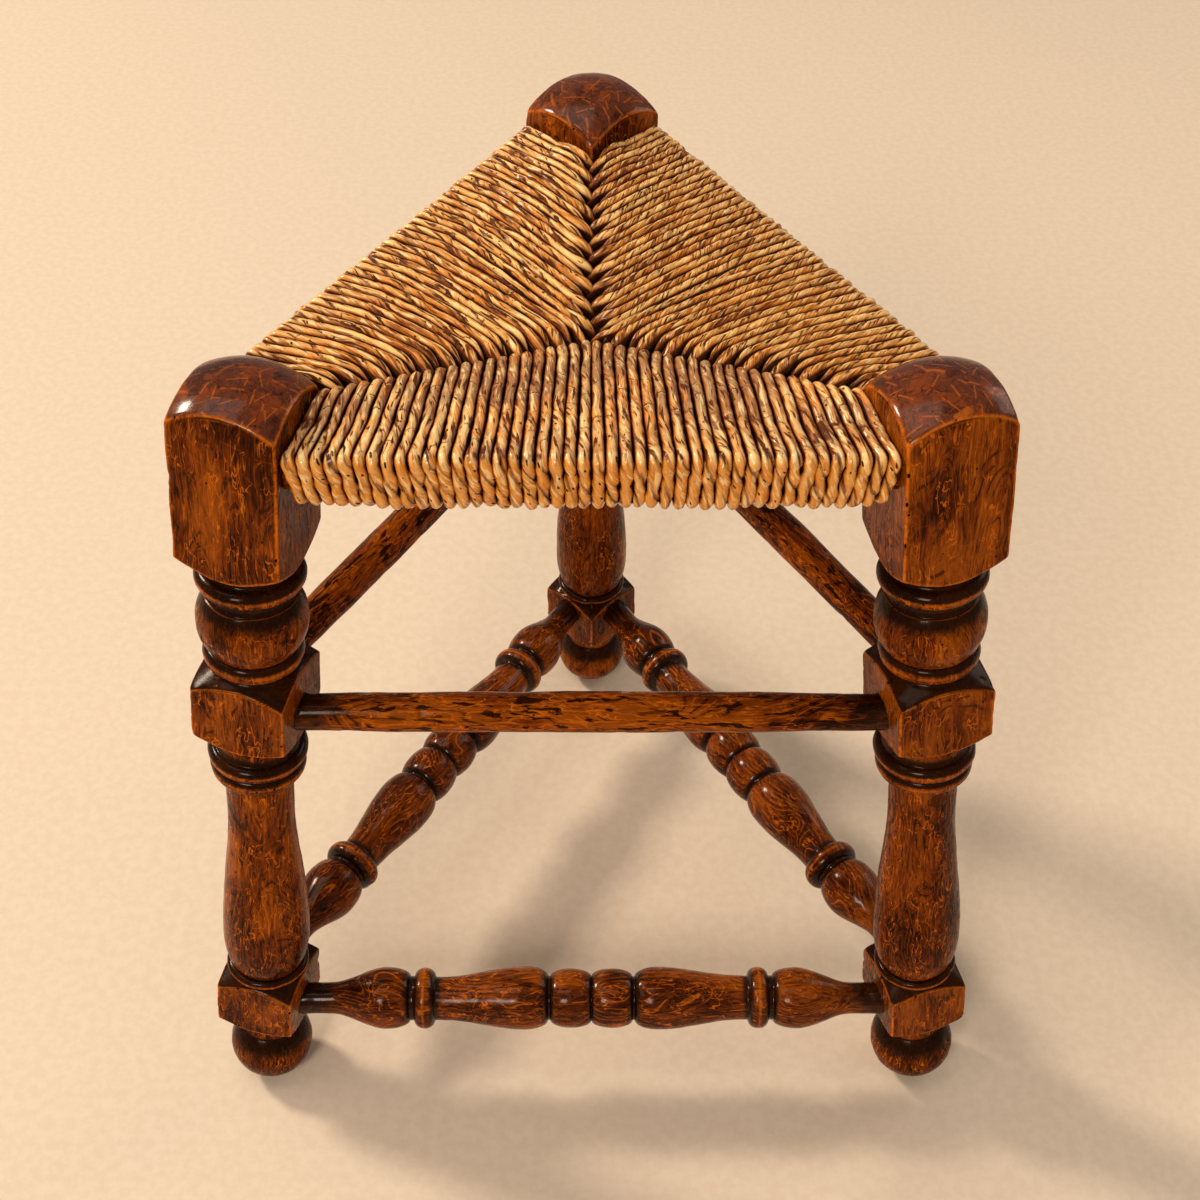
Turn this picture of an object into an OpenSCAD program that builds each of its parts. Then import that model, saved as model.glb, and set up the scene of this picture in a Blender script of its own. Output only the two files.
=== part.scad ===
// Three-legged fireside stool with turned legs, two tiers of stretchers and a rush seat.
// Millimetres. The floor is z = 0, and the origin is under the middle of the stool's bounding box.
// The front side faces -Y. Each leg has one corner of its blocks turned towards the middle of the stool.

/* [Stance] */
// Distance between two leg centre lines, measured on the floor
leg_spacing = 358; // [340:1:390]
// Angle by which each leg leans out at the foot, degrees
splay = 5.8; // [3:0.1:7]

/* [Leg blocks] */
// Width of the top block across its faces
top_block_w = 47.5; // [45:0.5:56]
// Height of the top block along its corners
top_block_h = 68.3; // [60:0.1:90]
// Radius of the domed top of the leg
dome_r = 47; // [42:1:80]
// Width of the middle block across its faces
mid_block_w = 45.4; // [42:0.1:50]
// Height of the middle block along its corners
mid_block_h = 27; // [24:0.5:40]
// Width of the low block across its faces
low_block_w = 41.4; // [39:0.1:48]
// Height of the low block along its corners
low_block_h = 26; // [24:0.5:38]
// Slope of the turned shoulder under the top block, degrees
top_slope = 39; // [25:1:45]
// Slope of the turned shoulders of the middle block, degrees
mid_slope = 32; // [20:1:40]
// Slope of the turned shoulders of the low block, degrees
low_slope = 30; // [20:1:40]

/* [Leg turnings] */
// Diameter of the ball foot
foot_d = 44; // [38:1:50]
// Depth of the worn flat under the foot
foot_flat = 1; // [0.5:0.1:2]
// Height from the floor to the shoulder over the foot
foot_h = 47; // [44:0.5:56]
// Diameter of the neck between the foot and the low block
foot_neck_d = 30; // [22:1:34]
// Height of the ring over the low block
base_ring_h = 5.5; // [4:0.5:9]
// Diameter of the ring over the low block
base_ring_d = 42.4; // [38:0.1:50]
// Depth of the groove beside the ring over the low block
base_groove_depth = 3; // [1:0.5:5]
// Height of the vase-shaped shaft
vase_h = 143; // [110:1:170]
// Largest diameter of the vase-shaped shaft
vase_d = 44.4; // [38:0.1:48]
// Height of the widest point of the shaft over its lower end
vase_belly_h = 25; // [18:1:40]
// Diameter of the shaft where it meets the ring below it
vase_base_d = 34; // [28:1:38]
// Diameter of the shaft's narrow neck
vase_neck_d = 32.6; // [28:0.1:36]
// Length of the straight part of the shaft's neck
vase_neck_h = 26; // [10:1:40]
// Height of each of the two rings over the shaft
twin_ring_h = 8.5; // [6:0.5:11]
// Diameter of the lower of the two rings
twin_ring_low_d = 45.6; // [42:0.1:50]
// Diameter of the upper of the two rings
twin_ring_high_d = 47.6; // [42:0.1:50]
// Height of the cove under the middle block
low_cove_h = 8.5; // [4:0.5:12]
// Height of the cove over the middle block
mid_cove_h = 3; // [2:0.5:8]
// Height of the ring under the ball
ball_ring_h = 9; // [6:0.5:11]
// Diameter of the ring under the ball
ball_ring_d = 45.8; // [42:0.1:50]
// Diameter of the ball
ball_d = 50; // [46:1:56]
// Height of the ball between its two grooves
ball_h = 28.5; // [22:0.5:34]
// Height of the cove over the ball
high_cove_h = 6.5; // [4:0.5:10]
// Height of the ring under the top block
top_ring_h = 9; // [6:0.5:11]
// Diameter of the ring under the top block
top_ring_d = 48.8; // [44:0.1:54]
// Height of the groove under the top block
top_groove_h = 3; // [2:0.5:6]
// Diameter at the bottom of the grooves and coves
groove_d = 40; // [36:0.5:41]

/* [Plain stretchers] */
// Diameter of a plain stretcher in the middle
plain_mid_d = 19; // [16:0.5:22]
// Diameter of a plain stretcher at its ends
plain_end_d = 17; // [14:0.5:18]
// Height of the front plain stretcher over the middle of its blocks
plain_front_rise = -6.5; // [-7:0.5:7]
// Height of the side plain stretchers over the middle of their blocks
plain_side_rise = 1.5; // [-7:0.5:7]

/* [Turned stretchers] */
// Diameter of a turned stretcher where it enters the leg
neck_d = 16.5; // [14:0.5:17]
// Length of the straight neck outside the leg
neck_l = 14; // [6:1:24]
// Diameter of each of the two beads in the middle
bead_d = 31; // [26:1:38]
// Width of each of the two beads in the middle
bead_w = 22; // [16:1:26]
// Largest diameter of the long swelling beside the beads
long_swell_d = 33; // [28:1:38]
// Length of the long swelling beside the beads
long_swell_l = 58; // [46:1:64]
// Diameter of the ring between the two swellings
collar_d = 32; // [28:1:38]
// Width of the ring between the two swellings
collar_w = 11; // [6:1:14]
// Largest diameter of the short swelling near the leg
short_swell_d = 32; // [28:1:38]
// Diameter at the bottom of the stretcher's grooves
fillet_d = 23; // [19:1:25]
// Width of the grooves on each side of the ring
fillet_w = 2.5; // [1:0.5:5]
// Place of the long swelling's widest point, as a share of its length
long_belly_share = 0.22; // [0.15:0.01:0.5]
// Place of the short swelling's widest point, as a share of its length
short_belly_share = 0.3; // [0.2:0.01:0.5]
// Height of the front turned stretcher over the middle of its blocks
turned_front_rise = -6; // [-7:0.5:7]
// Height of the side turned stretchers over the middle of their blocks
turned_side_rise = 6; // [-7:0.5:7]

/* [Seat rails] */
// Width of the seat rails under the rush, across the rail
rail_w = 22; // [18:0.5:24]
// Height of the seat rails
rail_h = 16; // [16:0.5:20]
// Radius of the rails' long edges
rail_round = 3; // [1:0.5:5]
// Diameter of the rails' round tenons
rail_tenon_d = 14; // [10:0.5:15]
// Distance of the rail's centre below the top corners of the leg
rail_drop = 19; // [16:0.5:30]
// Distance of the rail's centre outside the line between the leg centres
rail_out = 11; // [8:0.5:12]

/* [Joints] */
// Depth to which every stretcher and rail enters its leg
tenon_l = 13; // [8:0.5:13.5]
// Clearance all round a tenon in its hole
tenon_gap = 0.05; // [0.02:0.01:0.1]
// Free space left for glue at the bottom of each hole
glue_gap = 0.3; // [0.1:0.1:0.6]

/* [Rush seat] */
// Diameter of the twisted rush cord
cord_d = 5.7; // [4.5:0.1:7]
// Depth of the grooves between neighbouring cords
cord_groove = 1.7; // [0.8:0.1:2.2]
// Number of cords wound over each rail
cords = 44; // [32:4:48]
// Distance by which the seat dips in the middle
seat_dip = 11.5; // [0:0.5:14]
// Distance by which the underside of the seat hangs down in the middle
underside_sag = 4; // [0:0.5:8]
// Distance by which the meeting point of the panels lies towards the front
meet_forward = 12; // [0:1:20]
// Rise of the cords halfway between the rail and the seam
crown = 2; // [0:0.5:5]
// Clearance between the rush and the rails
rush_gap = 0.3; // [0.2:0.1:0.6]
// Clearance between the rush and the leaning blocks
block_gap = 0.45; // [0.3:0.05:0.8]
// Place on the front and right rails of the cord that reaches the middle, as a share of the rail
even_turn = 0.5; // [0.4:0.01:0.6]
// Place on the left rail of the cord that reaches the middle, as a share of the rail from the back
left_turn = 0.38; // [0.3:0.01:0.6]
// Share of the way from the middle of a cord to its seam that the stuffing fills
stuffing_reach = 0.9; // [0.5:0.05:0.95]

/* [Hidden] */
$fn = 96;

// The three sides of the stool, as turns about its middle
front_side = 0;
right_side = 120;
left_side = 240;
// The directions in which the three legs stand
right_azimuth = 330;
back_azimuth = 90;
left_azimuth = 210;
// A block's face is turned by this angle from the way its stretcher runs
face_turn = 45 - 30;
// Length by which cutting shapes run past what they cut
over = 2;

oak = [0.42, 0.20, 0.08];
dark_oak = [0.33, 0.15, 0.06];
rush_gold = [0.78, 0.55, 0.25];
straw = [0.70, 0.55, 0.32];

// Half the diagonal of a square block
function half_diag(w) = w / sqrt(2);
// Height of a shoulder cone from a groove's radius out to the block's corners
function shoulder(w, r, slope) = (half_diag(w) - r) * tan(slope);
function mix(a, b, t) = a + (b - a) * t;

groove_r = groove_d / 2;
base_groove_r = base_ring_d / 2 - base_groove_depth;

// Heights along the leg, each stacked on the one before
low_corner_bottom = foot_h + shoulder(low_block_w, foot_neck_d / 2, low_slope);
low_corner_top = low_corner_bottom + low_block_h;
base_ring_z = low_corner_top + shoulder(low_block_w, base_groove_r, low_slope);
vase_z = base_ring_z + base_ring_h;
twin_low_z = vase_z + vase_h;
twin_high_z = twin_low_z + twin_ring_h;
low_cove_z = twin_high_z + twin_ring_h;
mid_bottom_z = low_cove_z + low_cove_h;
mid_corner_bottom = mid_bottom_z + shoulder(mid_block_w, groove_r, mid_slope);
mid_corner_top = mid_corner_bottom + mid_block_h;
mid_top_z = mid_corner_top + shoulder(mid_block_w, groove_r, mid_slope);
ball_ring_z = mid_top_z + mid_cove_h;
ball_z = ball_ring_z + ball_ring_h;
high_cove_z = ball_z + ball_h;
top_ring_z = high_cove_z + high_cove_h;
top_groove_z = top_ring_z + top_ring_h;
top_bottom_z = top_groove_z + top_groove_h;
top_corner_bottom = top_bottom_z + shoulder(top_block_w, groove_r, top_slope);
top_corner_top = top_corner_bottom + top_block_h;
foot_z = (foot_d / 2 - foot_flat) / cos(splay);

// Height over the floor of a point on the leg's centre line
function level(l) = l * cos(splay);
// Distance of a leg's centre line from the middle of the stool, and between two legs, at a height
function leg_r(z) = leg_spacing / sqrt(3) - z * tan(splay);
function spacing(z) = leg_r(z) * sqrt(3);
// Distance of a stretcher outside the line between two legs when it enters a block's face in the middle
function face_out(w) = w / 2 * sin(face_turn);
// Distance from the leg's centre to a block's face along a stretcher that lies out from the line
function face_in(w, out) = (w / 2 - out * sin(face_turn)) / cos(face_turn);

low_mid_level = level((low_corner_bottom + low_corner_top) / 2);
mid_mid_level = level((mid_corner_bottom + mid_corner_top) / 2);
rail_level = level(top_corner_top) - rail_drop;

// The stool's bounding box is widest at the low blocks' lower corners
widest_r = leg_spacing / sqrt(3) - low_corner_bottom * sin(splay);
back_reach = widest_r + half_diag(low_block_w) * cos(splay);
front_reach = widest_r / 2 + half_diag(low_block_w) * cos(30);
origin_y = (front_reach - back_reach) / 2;

// Turned outlines, as lists of [radius, height]
function half_round(z, h, side_r, top_r, n = 8) = [
    for (i = [0:n]) let (a = -90 + 180 * i / n)
        [side_r + (top_r - side_r) * cos(a), z + h / 2 * (1 + sin(a))]
];
function ball_curve(z, h, r, n = 12) = [
    for (i = [0:n]) let (d = h * (i / n - 0.5))
        [sqrt(r * r - d * d), z + h / 2 + d]
];
function cove(z, h, r, depth, n = 4) = [
    for (i = [0:n]) [r - depth * sin(180 * i / n), z + h * i / n]
];
function ease(z0, z1, r0, r1, n = 10) = [
    for (i = [0:n]) [mix(r0, r1, (1 - cos(180 * i / n)) / 2), mix(z0, z1, i / n)]
];
function swell(z0, z1, r0, r1, n = 7) = [
    for (i = [0:n]) let (a = 90 * i / n) [mix(r0, r1, sin(a)), mix(z1, z0, cos(a))]
];

cove_depth = 1.2;
vase_r = vase_d / 2;
vase_neck_r = vase_neck_d / 2;
leg_outline = concat(
    [[0, foot_z], [foot_neck_d / 2, foot_z], [foot_neck_d / 2, low_corner_bottom]],
    [[base_groove_r, low_corner_bottom], [base_groove_r, base_ring_z]],
    half_round(base_ring_z, base_ring_h, base_groove_r, base_ring_d / 2),
    swell(vase_z, vase_z + vase_belly_h, vase_base_d / 2, vase_r),
    ease(vase_z + vase_belly_h, twin_low_z - vase_neck_h, vase_r, vase_neck_r),
    [[vase_neck_r, twin_low_z]],
    half_round(twin_low_z, twin_ring_h, groove_r, twin_ring_low_d / 2),
    half_round(twin_high_z, twin_ring_h, groove_r, twin_ring_high_d / 2),
    cove(low_cove_z, low_cove_h, groove_r, cove_depth),
    [[groove_r, mid_top_z]],
    cove(mid_top_z, mid_cove_h, groove_r, cove_depth),
    half_round(ball_ring_z, ball_ring_h, groove_r, ball_ring_d / 2),
    ball_curve(ball_z, ball_h, ball_d / 2),
    cove(high_cove_z, high_cove_h, groove_r, cove_depth),
    half_round(top_ring_z, top_ring_h, groove_r, top_ring_d / 2),
    cove(top_groove_z, top_groove_h, groove_r, cove_depth),
    [[groove_r, top_corner_bottom], [0, top_corner_bottom]]
);

// Square block with turned shoulders. A corner points along X.
module block(w, low, high, slope) {
    reach = half_diag(w) + over;
    drop = reach * tan(slope);
    out = over * tan(slope);
    intersection() {
        rotate([0, 0, 45])
            translate([-w / 2, -w / 2, low - drop])
                cube([w, w, high - low + 2 * drop]);
        rotate_extrude()
            polygon([
                [0, low + out - drop], [reach, low + out],
                [reach, high - out], [0, high - out + drop]
            ]);
    }
}

// Top block with a shoulder below and a domed top
module top_block() {
    w = top_block_w;
    reach = half_diag(w) + over;
    drop = reach * tan(top_slope);
    out = over * tan(top_slope);
    low = top_corner_bottom;
    dome_z = top_corner_top - sqrt(pow(dome_r, 2) - pow(half_diag(w), 2));
    dome_start = acos(reach / dome_r);
    steps = 16;
    intersection() {
        rotate([0, 0, 45])
            translate([-w / 2, -w / 2, low - drop])
                cube([w, w, top_block_h + drop + dome_r]);
        rotate_extrude()
            polygon(concat(
                [[0, low + out - drop], [reach, low + out]],
                [for (i = [0:steps]) let (a = mix(dome_start, 90, i / steps))
                    [dome_r * cos(a), dome_z + dome_r * sin(a)]]
            ));
    }
}

module whole_leg() {
    rotate_extrude() polygon(leg_outline);
    translate([0, 0, foot_z]) sphere(d = foot_d);
    block(low_block_w, low_corner_bottom, low_corner_top, low_slope);
    block(mid_block_w, mid_corner_bottom, mid_corner_top, mid_slope);
    top_block();
}

// Round hole in a leg at a height, for a piece that runs along one side of the stool
module hole(z, w, out, d) {
    half = spacing(z) / 2 - face_in(w, out);
    mouth = half - 2 * over;
    bottom = half + tenon_l + glue_gap;
    for (end = [-1, 1])
        translate([end * (mouth + bottom) / 2, -leg_r(z) / 2 - out, z])
            rotate([0, 90, 0])
                cylinder(h = bottom - mouth, d = d + 2 * tenon_gap, center = true);
}

module side_holes(plain_rise, turned_rise) {
    hole(mid_mid_level + plain_rise, mid_block_w, face_out(mid_block_w), plain_end_d);
    hole(low_mid_level + turned_rise, low_block_w, face_out(low_block_w), neck_d);
    hole(rail_level, top_block_w, rail_out, rail_tenon_d);
}

module leg(azimuth) {
    translate([0, origin_y, 0])
        difference() {
            rotate([0, 0, azimuth])
                translate([leg_r(0), 0, 0])
                    rotate([0, -splay, 0])
                        whole_leg();
            translate([-leg_spacing, -leg_spacing, -foot_d])
                cube([2 * leg_spacing, 2 * leg_spacing, foot_d]);
            if (azimuth != back_azimuth)
                rotate([0, 0, front_side]) side_holes(plain_front_rise, turned_front_rise);
            if (azimuth != left_azimuth)
                rotate([0, 0, right_side]) side_holes(plain_side_rise, turned_side_rise);
            if (azimuth != right_azimuth)
                rotate([0, 0, left_side]) side_holes(plain_side_rise, turned_side_rise);
        }
}

// A piece turned on its own axis, laid along one side of the stool
module along_side(side, z, out) {
    translate([0, origin_y, 0])
        rotate([0, 0, side])
            translate([0, -leg_r(z) / 2 - out, z])
                rotate([0, 90, 0])
                    children();
}

// The square prism of a leg's top block, which the rails' shoulders are cut to
module top_prism(azimuth) {
    w = top_block_w;
    rotate([0, 0, azimuth])
        translate([leg_r(0), 0, 0])
            rotate([0, -splay, 0])
                rotate([0, 0, 45])
                    translate([-w / 2, -w / 2, top_corner_bottom])
                        cube([w, w, top_block_h]);
}

// Corner of a rounded bar's section: centre, radius and turn from straight up to straight out
function corner_point(cy, cz, r, a) = [cy - r * cos(a), cz + r * sin(a)];

module rail_section() {
    y = rail_w / 2 - rail_round;
    z = rail_h / 2 - rail_round;
    steps = 6;
    polygon([
        for (quarter = [0:3], k = [0:steps])
            let (a = 90 * quarter + 90 * k / steps)
                [(quarter == 0 || quarter == 3 ? z : -z) + rail_round * cos(a),
                 (quarter < 2 ? y : -y) + rail_round * sin(a)]
    ]);
}

module rail(side) {
    half = spacing(rail_level) / 2 - face_in(top_block_w, rail_out) + tenon_l;
    translate([0, origin_y, 0])
        rotate([0, 0, side]) {
            difference() {
                translate([-half, -leg_r(rail_level) / 2 - rail_out, rail_level])
                    rotate([0, 90, 0])
                        linear_extrude(height = 2 * half) rail_section();
                top_prism(left_azimuth);
                top_prism(right_azimuth);
            }
            translate([0, -leg_r(rail_level) / 2 - rail_out, rail_level])
                rotate([0, 90, 0])
                    cylinder(h = 2 * half, d = rail_tenon_d, center = true);
        }
}

module plain_stretcher(side, rise) {
    z = mid_mid_level + rise;
    out = face_out(mid_block_w);
    half = spacing(z) / 2 - face_in(mid_block_w, out);
    steps = 12;
    along_side(side, z, out)
        rotate_extrude()
            polygon(concat(
                [[0, -half - tenon_l], [plain_end_d / 2, -half - tenon_l]],
                [for (i = [0:steps]) let (t = 2 * i / steps - 1)
                    [mix(plain_mid_d, plain_end_d, t * t) / 2, t * half]],
                [[plain_end_d / 2, half + tenon_l], [0, half + tenon_l]]
            ));
}

// Half of the turned stretcher's outline, from its middle to its end
function turned_half(half) =
    let (
        fillet_r = fillet_d / 2,
        long_z = bead_w + fillet_w / 2,
        long_belly = long_z + long_swell_l * long_belly_share,
        long_end = long_z + long_swell_l,
        collar_z = long_end + fillet_w,
        short_z = collar_z + collar_w + fillet_w,
        short_belly = mix(short_z, half - neck_l, short_belly_share)
    )
    concat(
        half_round(0, bead_w, fillet_r, bead_d / 2),
        swell(long_z, long_belly, fillet_r, long_swell_d / 2, 5),
        ease(long_belly, long_end, long_swell_d / 2, fillet_r, 8),
        half_round(collar_z, collar_w, fillet_r, collar_d / 2),
        swell(short_z, short_belly, fillet_r, short_swell_d / 2, 5),
        ease(short_belly, half - neck_l, short_swell_d / 2, neck_d / 2, 8),
        [[neck_d / 2, half + tenon_l], [0, half + tenon_l]]
    );

module turned_stretcher(side, rise) {
    z = low_mid_level + rise;
    out = face_out(low_block_w);
    half = spacing(z) / 2 - face_in(low_block_w, out);
    outline = turned_half(half);
    last = len(outline) - 1;
    along_side(side, z, out)
        rotate_extrude()
            polygon(concat([for (i = [last:-1:0]) [outline[i][0], -outline[i][1]]], outline));
}

// Rush panel: one ribbed skin that comes out of the seam, folds round the rail and goes back below
rail_y = -leg_r(rail_level) / 2 - rail_out;
rail_front = rail_y - rail_w / 2;
rail_back = rail_y + rail_w / 2;
cord_top = rail_h / 2 + rush_gap + cord_d;
wrap_r = rail_round + rush_gap + cord_d;
fold_steps = 2;
fold_angle = 90 / fold_steps;
lining_r = (rail_round + rush_gap) / cos(fold_angle / 2);
stations = 2 * (fold_steps + 1) + 5;
columns = 2 * cords;
seam_top = rail_level + cord_top;
seam_bottom = rail_level - cord_top;
centre_top = seam_top - seat_dip;
centre_bottom = seam_bottom - underside_sag;

// The point where the panels meet, seen from one side's own frame
function meeting(side) = [-meet_forward * sin(side), -meet_forward * cos(side)];
// Half the free length between two blocks at a place across the rail and a height
function free_half(y, z) =
    let (across = y + leg_r(z) / 2)
        spacing(z) / 2 - (top_block_w / 2 + block_gap + across * sin(face_turn)) / cos(face_turn);
// Corner of the left-hand block that points to the middle, with the rush's clearance
corner_reach = half_diag(top_block_w) + block_gap * sqrt(2);
corner = [
    -spacing(seam_top) / 2 + corner_reach * cos(30),
    -leg_r(seam_top) / 2 + corner_reach * sin(30)
];
// Place on the seams that a share of the rail's cords runs to, and how far it is towards the middle
function seam_share(t, turn) = t < turn ? t / turn : (1 - t) / (1 - turn);
function seam(t, turn, side) =
    let (start = [t < turn ? corner[0] : -corner[0], corner[1]])
        mix(start, meeting(side), seam_share(t, turn));
// A point on the rail, at a share of its free length
function on_rail(t, yz) = [mix(-1, 1, t) * free_half(yz[0], yz[1]), yz[0], yz[1]];

// One cord's path: thick is how far it lies inside the skin, dent is how deep a groove it forms
function cord_path(t, turn, side, radius, thick, dent) =
    let (
        s = seam(t, turn, side),
        share = seam_share(t, turn),
        inside = thick + dent,
        upper = mix(seam_top, centre_top, share) - inside,
        lower = mix(seam_bottom, centre_bottom, share) + inside,
        r = radius - dent,
        fold_y = rail_front + rail_round,
        fold_z = rail_h / 2 - rail_round,
        leave = on_rail(t, [rail_back - rail_round, seam_top - inside]),
        come = on_rail(t, [rail_back - rail_round, seam_bottom + inside]),
        mid = ([s[0], s[1], upper] + leave) / 2 + [0, 0, crown]
    )
    concat(
        [[s[0], s[1], upper], mid, leave],
        [for (k = [0:fold_steps])
            on_rail(t, corner_point(fold_y, rail_level + fold_z, r, 90 - fold_angle * k))],
        [for (k = [0:fold_steps])
            on_rail(t, corner_point(fold_y, rail_level - fold_z, r, -fold_angle * k))],
        [come, [s[0], s[1], lower]]
    );

function flat(list) = [for (part = list) each part];
// The lining has one facet for every two cords, and the panel turns between two facets
inner_columns = cords / 2;
ribs = columns / inner_columns;
function turn_share(turn) = round(turn * inner_columns) / inner_columns;

module rush_panel(side, wanted_turn) {
    turn = turn_share(wanted_turn);
    outer = flat([for (i = [0:columns])
        cord_path(i / columns, turn, side, wrap_r, 0, i % 2 == 0 ? cord_groove : 0)]);
    inner = flat([for (k = [0:inner_columns])
        cord_path(k / inner_columns, turn, side, lining_r, cord_d, 0)]);
    base = len(outer);
    last = stations - 1;
    skin = flat([for (i = [0:columns - 1], j = [0:last - 1])
        let (a = i * stations + j, b = a + stations)
            [[a, b, b + 1], [a, b + 1, a + 1]]]);
    lining = flat([for (k = [0:inner_columns - 1], j = [0:last - 1])
        let (a = base + k * stations + j, b = a + stations)
            [[a, b + 1, b], [a, a + 1, b + 1]]]);
    rims = flat([for (k = [0:inner_columns - 1])
        let (a = base + k * stations, b = a + stations)
            concat(
                [for (i = [ribs * k:ribs * k + ribs - 1])
                    [(i + 1) * stations, i * stations, a]],
                [[ribs * (k + 1) * stations, a, b]],
                [for (i = [ribs * k:ribs * k + ribs - 1])
                    [i * stations + last, (i + 1) * stations + last, a + last]],
                [[ribs * (k + 1) * stations + last, b + last, a + last]]
            )]);
    ends = flat([for (j = [0:last - 1])
        let (a = j, b = base + j, c = columns * stations + j, d = base + inner_columns * stations + j)
            [[a, a + 1, b + 1], [a, b + 1, b], [c, d + 1, c + 1], [c, d, d + 1]]]);
    translate([0, origin_y, 0])
        rotate([0, 0, side])
            polyhedron(points = concat(outer, inner), faces = concat(skin, lining, rims, ends));
}

// Dry rush packed between the upper and lower layers of one panel
module stuffing(side, wanted_turn) {
    turn = turn_share(wanted_turn);
    near_rail = rail_back + rush_gap;
    rings = [for (k = [1:inner_columns - 1])
        let (
            path = cord_path(k / inner_columns, turn, side, lining_r, cord_d + rush_gap, 0),
            top_seam = path[0],
            top_mid = path[1],
            top_rail = path[2],
            low_rail = path[stations - 2],
            low_seam = path[stations - 1],
            low_mid = mix(low_rail, low_seam, 0.5),
            f = (near_rail - top_rail[1]) / (top_mid[1] - top_rail[1])
        )
        [
            mix(top_mid, top_seam, stuffing_reach), top_mid, mix(top_rail, top_mid, f),
            mix(low_rail, low_mid, f), low_mid, mix(low_mid, low_seam, stuffing_reach)
        ]];
    n = 6;
    rows = len(rings);
    walls = flat([for (k = [0:rows - 2], j = [0:n - 1])
        let (a = k * n + j, b = a + n, a1 = k * n + (j + 1) % n, b1 = a1 + n)
            [[a, b, b1], [a, b1, a1]]]);
    caps = flat([for (j = [1:n - 2])
        let (e = (rows - 1) * n)
            [[0, j, j + 1], [e, e + j + 1, e + j]]]);
    translate([0, origin_y, 0])
        rotate([0, 0, side])
            polyhedron(points = flat(rings), faces = concat(walls, caps));
}

module left_leg() { color(oak) leg(left_azimuth); }
module right_leg() { color(oak) leg(right_azimuth); }
module back_leg() { color(oak) leg(back_azimuth); }
module front_rail() { color(dark_oak) rail(front_side); }
module right_rail() { color(dark_oak) rail(right_side); }
module left_rail() { color(dark_oak) rail(left_side); }
module front_plain_stretcher() { color(dark_oak) plain_stretcher(front_side, plain_front_rise); }
module right_plain_stretcher() { color(dark_oak) plain_stretcher(right_side, plain_side_rise); }
module left_plain_stretcher() { color(dark_oak) plain_stretcher(left_side, plain_side_rise); }
module front_turned_stretcher() { color(oak) turned_stretcher(front_side, turned_front_rise); }
module right_turned_stretcher() { color(oak) turned_stretcher(right_side, turned_side_rise); }
module left_turned_stretcher() { color(oak) turned_stretcher(left_side, turned_side_rise); }
module front_rush() { color(rush_gold) rush_panel(front_side, even_turn); }
module right_rush() { color(rush_gold) rush_panel(right_side, even_turn); }
module left_rush() { color(rush_gold) rush_panel(left_side, left_turn); }
module front_stuffing() { color(straw) stuffing(front_side, even_turn); }
module right_stuffing() { color(straw) stuffing(right_side, even_turn); }
module left_stuffing() { color(straw) stuffing(left_side, left_turn); }

left_leg();
right_leg();
back_leg();
front_rail();
right_rail();
left_rail();
front_plain_stretcher();
right_plain_stretcher();
left_plain_stretcher();
front_turned_stretcher();
right_turned_stretcher();
left_turned_stretcher();
front_rush();
right_rush();
left_rush();
front_stuffing();
right_stuffing();
left_stuffing();
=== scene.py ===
"""The looks of a three-legged fireside stool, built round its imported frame.

Worn and waxed turned oak, and a seat of twisted rush cord. Lengths are millimetres until a mesh is
made, when they become metres. The floor is z = 0, and the front side faces -Y.
"""

import logging
import math
from dataclasses import dataclass
from enum import Enum

import bpy
import numpy as np
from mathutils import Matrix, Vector


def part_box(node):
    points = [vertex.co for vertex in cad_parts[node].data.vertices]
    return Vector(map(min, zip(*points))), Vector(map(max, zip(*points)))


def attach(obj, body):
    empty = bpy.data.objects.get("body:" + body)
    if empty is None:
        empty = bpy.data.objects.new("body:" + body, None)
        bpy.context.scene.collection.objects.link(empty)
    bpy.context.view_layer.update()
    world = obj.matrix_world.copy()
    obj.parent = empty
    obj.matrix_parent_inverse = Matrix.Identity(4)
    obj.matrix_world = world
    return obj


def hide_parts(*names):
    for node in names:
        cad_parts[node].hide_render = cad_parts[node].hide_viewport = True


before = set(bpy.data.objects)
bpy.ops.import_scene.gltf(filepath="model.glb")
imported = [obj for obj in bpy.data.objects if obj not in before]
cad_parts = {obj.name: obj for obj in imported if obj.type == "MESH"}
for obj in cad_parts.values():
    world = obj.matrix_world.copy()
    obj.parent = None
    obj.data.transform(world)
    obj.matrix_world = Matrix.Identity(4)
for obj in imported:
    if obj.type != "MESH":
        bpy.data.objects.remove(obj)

log = logging.getLogger("stool")

Array = np.ndarray
Random = np.random.Generator
Colour = tuple[float, float, float]
Piece = bpy.types.Object
Material = bpy.types.Material
Tree = bpy.types.NodeTree
Node = bpy.types.Node
Socket = bpy.types.NodeSocket

MM = 0.001
BODY = "root"
MIDDLE_GREY = (0.5, 0.5, 0.5)
SEAT_MIDDLE = (0, 0, 0.25)


class Side(Enum):
    """The three sides of the stool, each with its turn about the middle in degrees."""

    FRONT = 0
    RIGHT = 120
    LEFT = 240


class Corner(Enum):
    """Where the three legs stand: the way in which each leans out, in degrees."""

    RIGHT = 330
    BACK = 90
    LEFT = 210


# Small mathematics


def mix(a: Array, b: Array, share: Array) -> Array:
    """Returns the value that lies a share of the way from a to b."""
    return a + (b - a) * share


def smooth_step(low: float, high: float, value: Array) -> Array:
    """Returns 0 below low and 1 above high, with the cubic 3t^2 - 2t^3 between them."""
    t = np.clip((value - low) / (high - low), 0, 1)
    return t * t * (3 - 2 * t)


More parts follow.
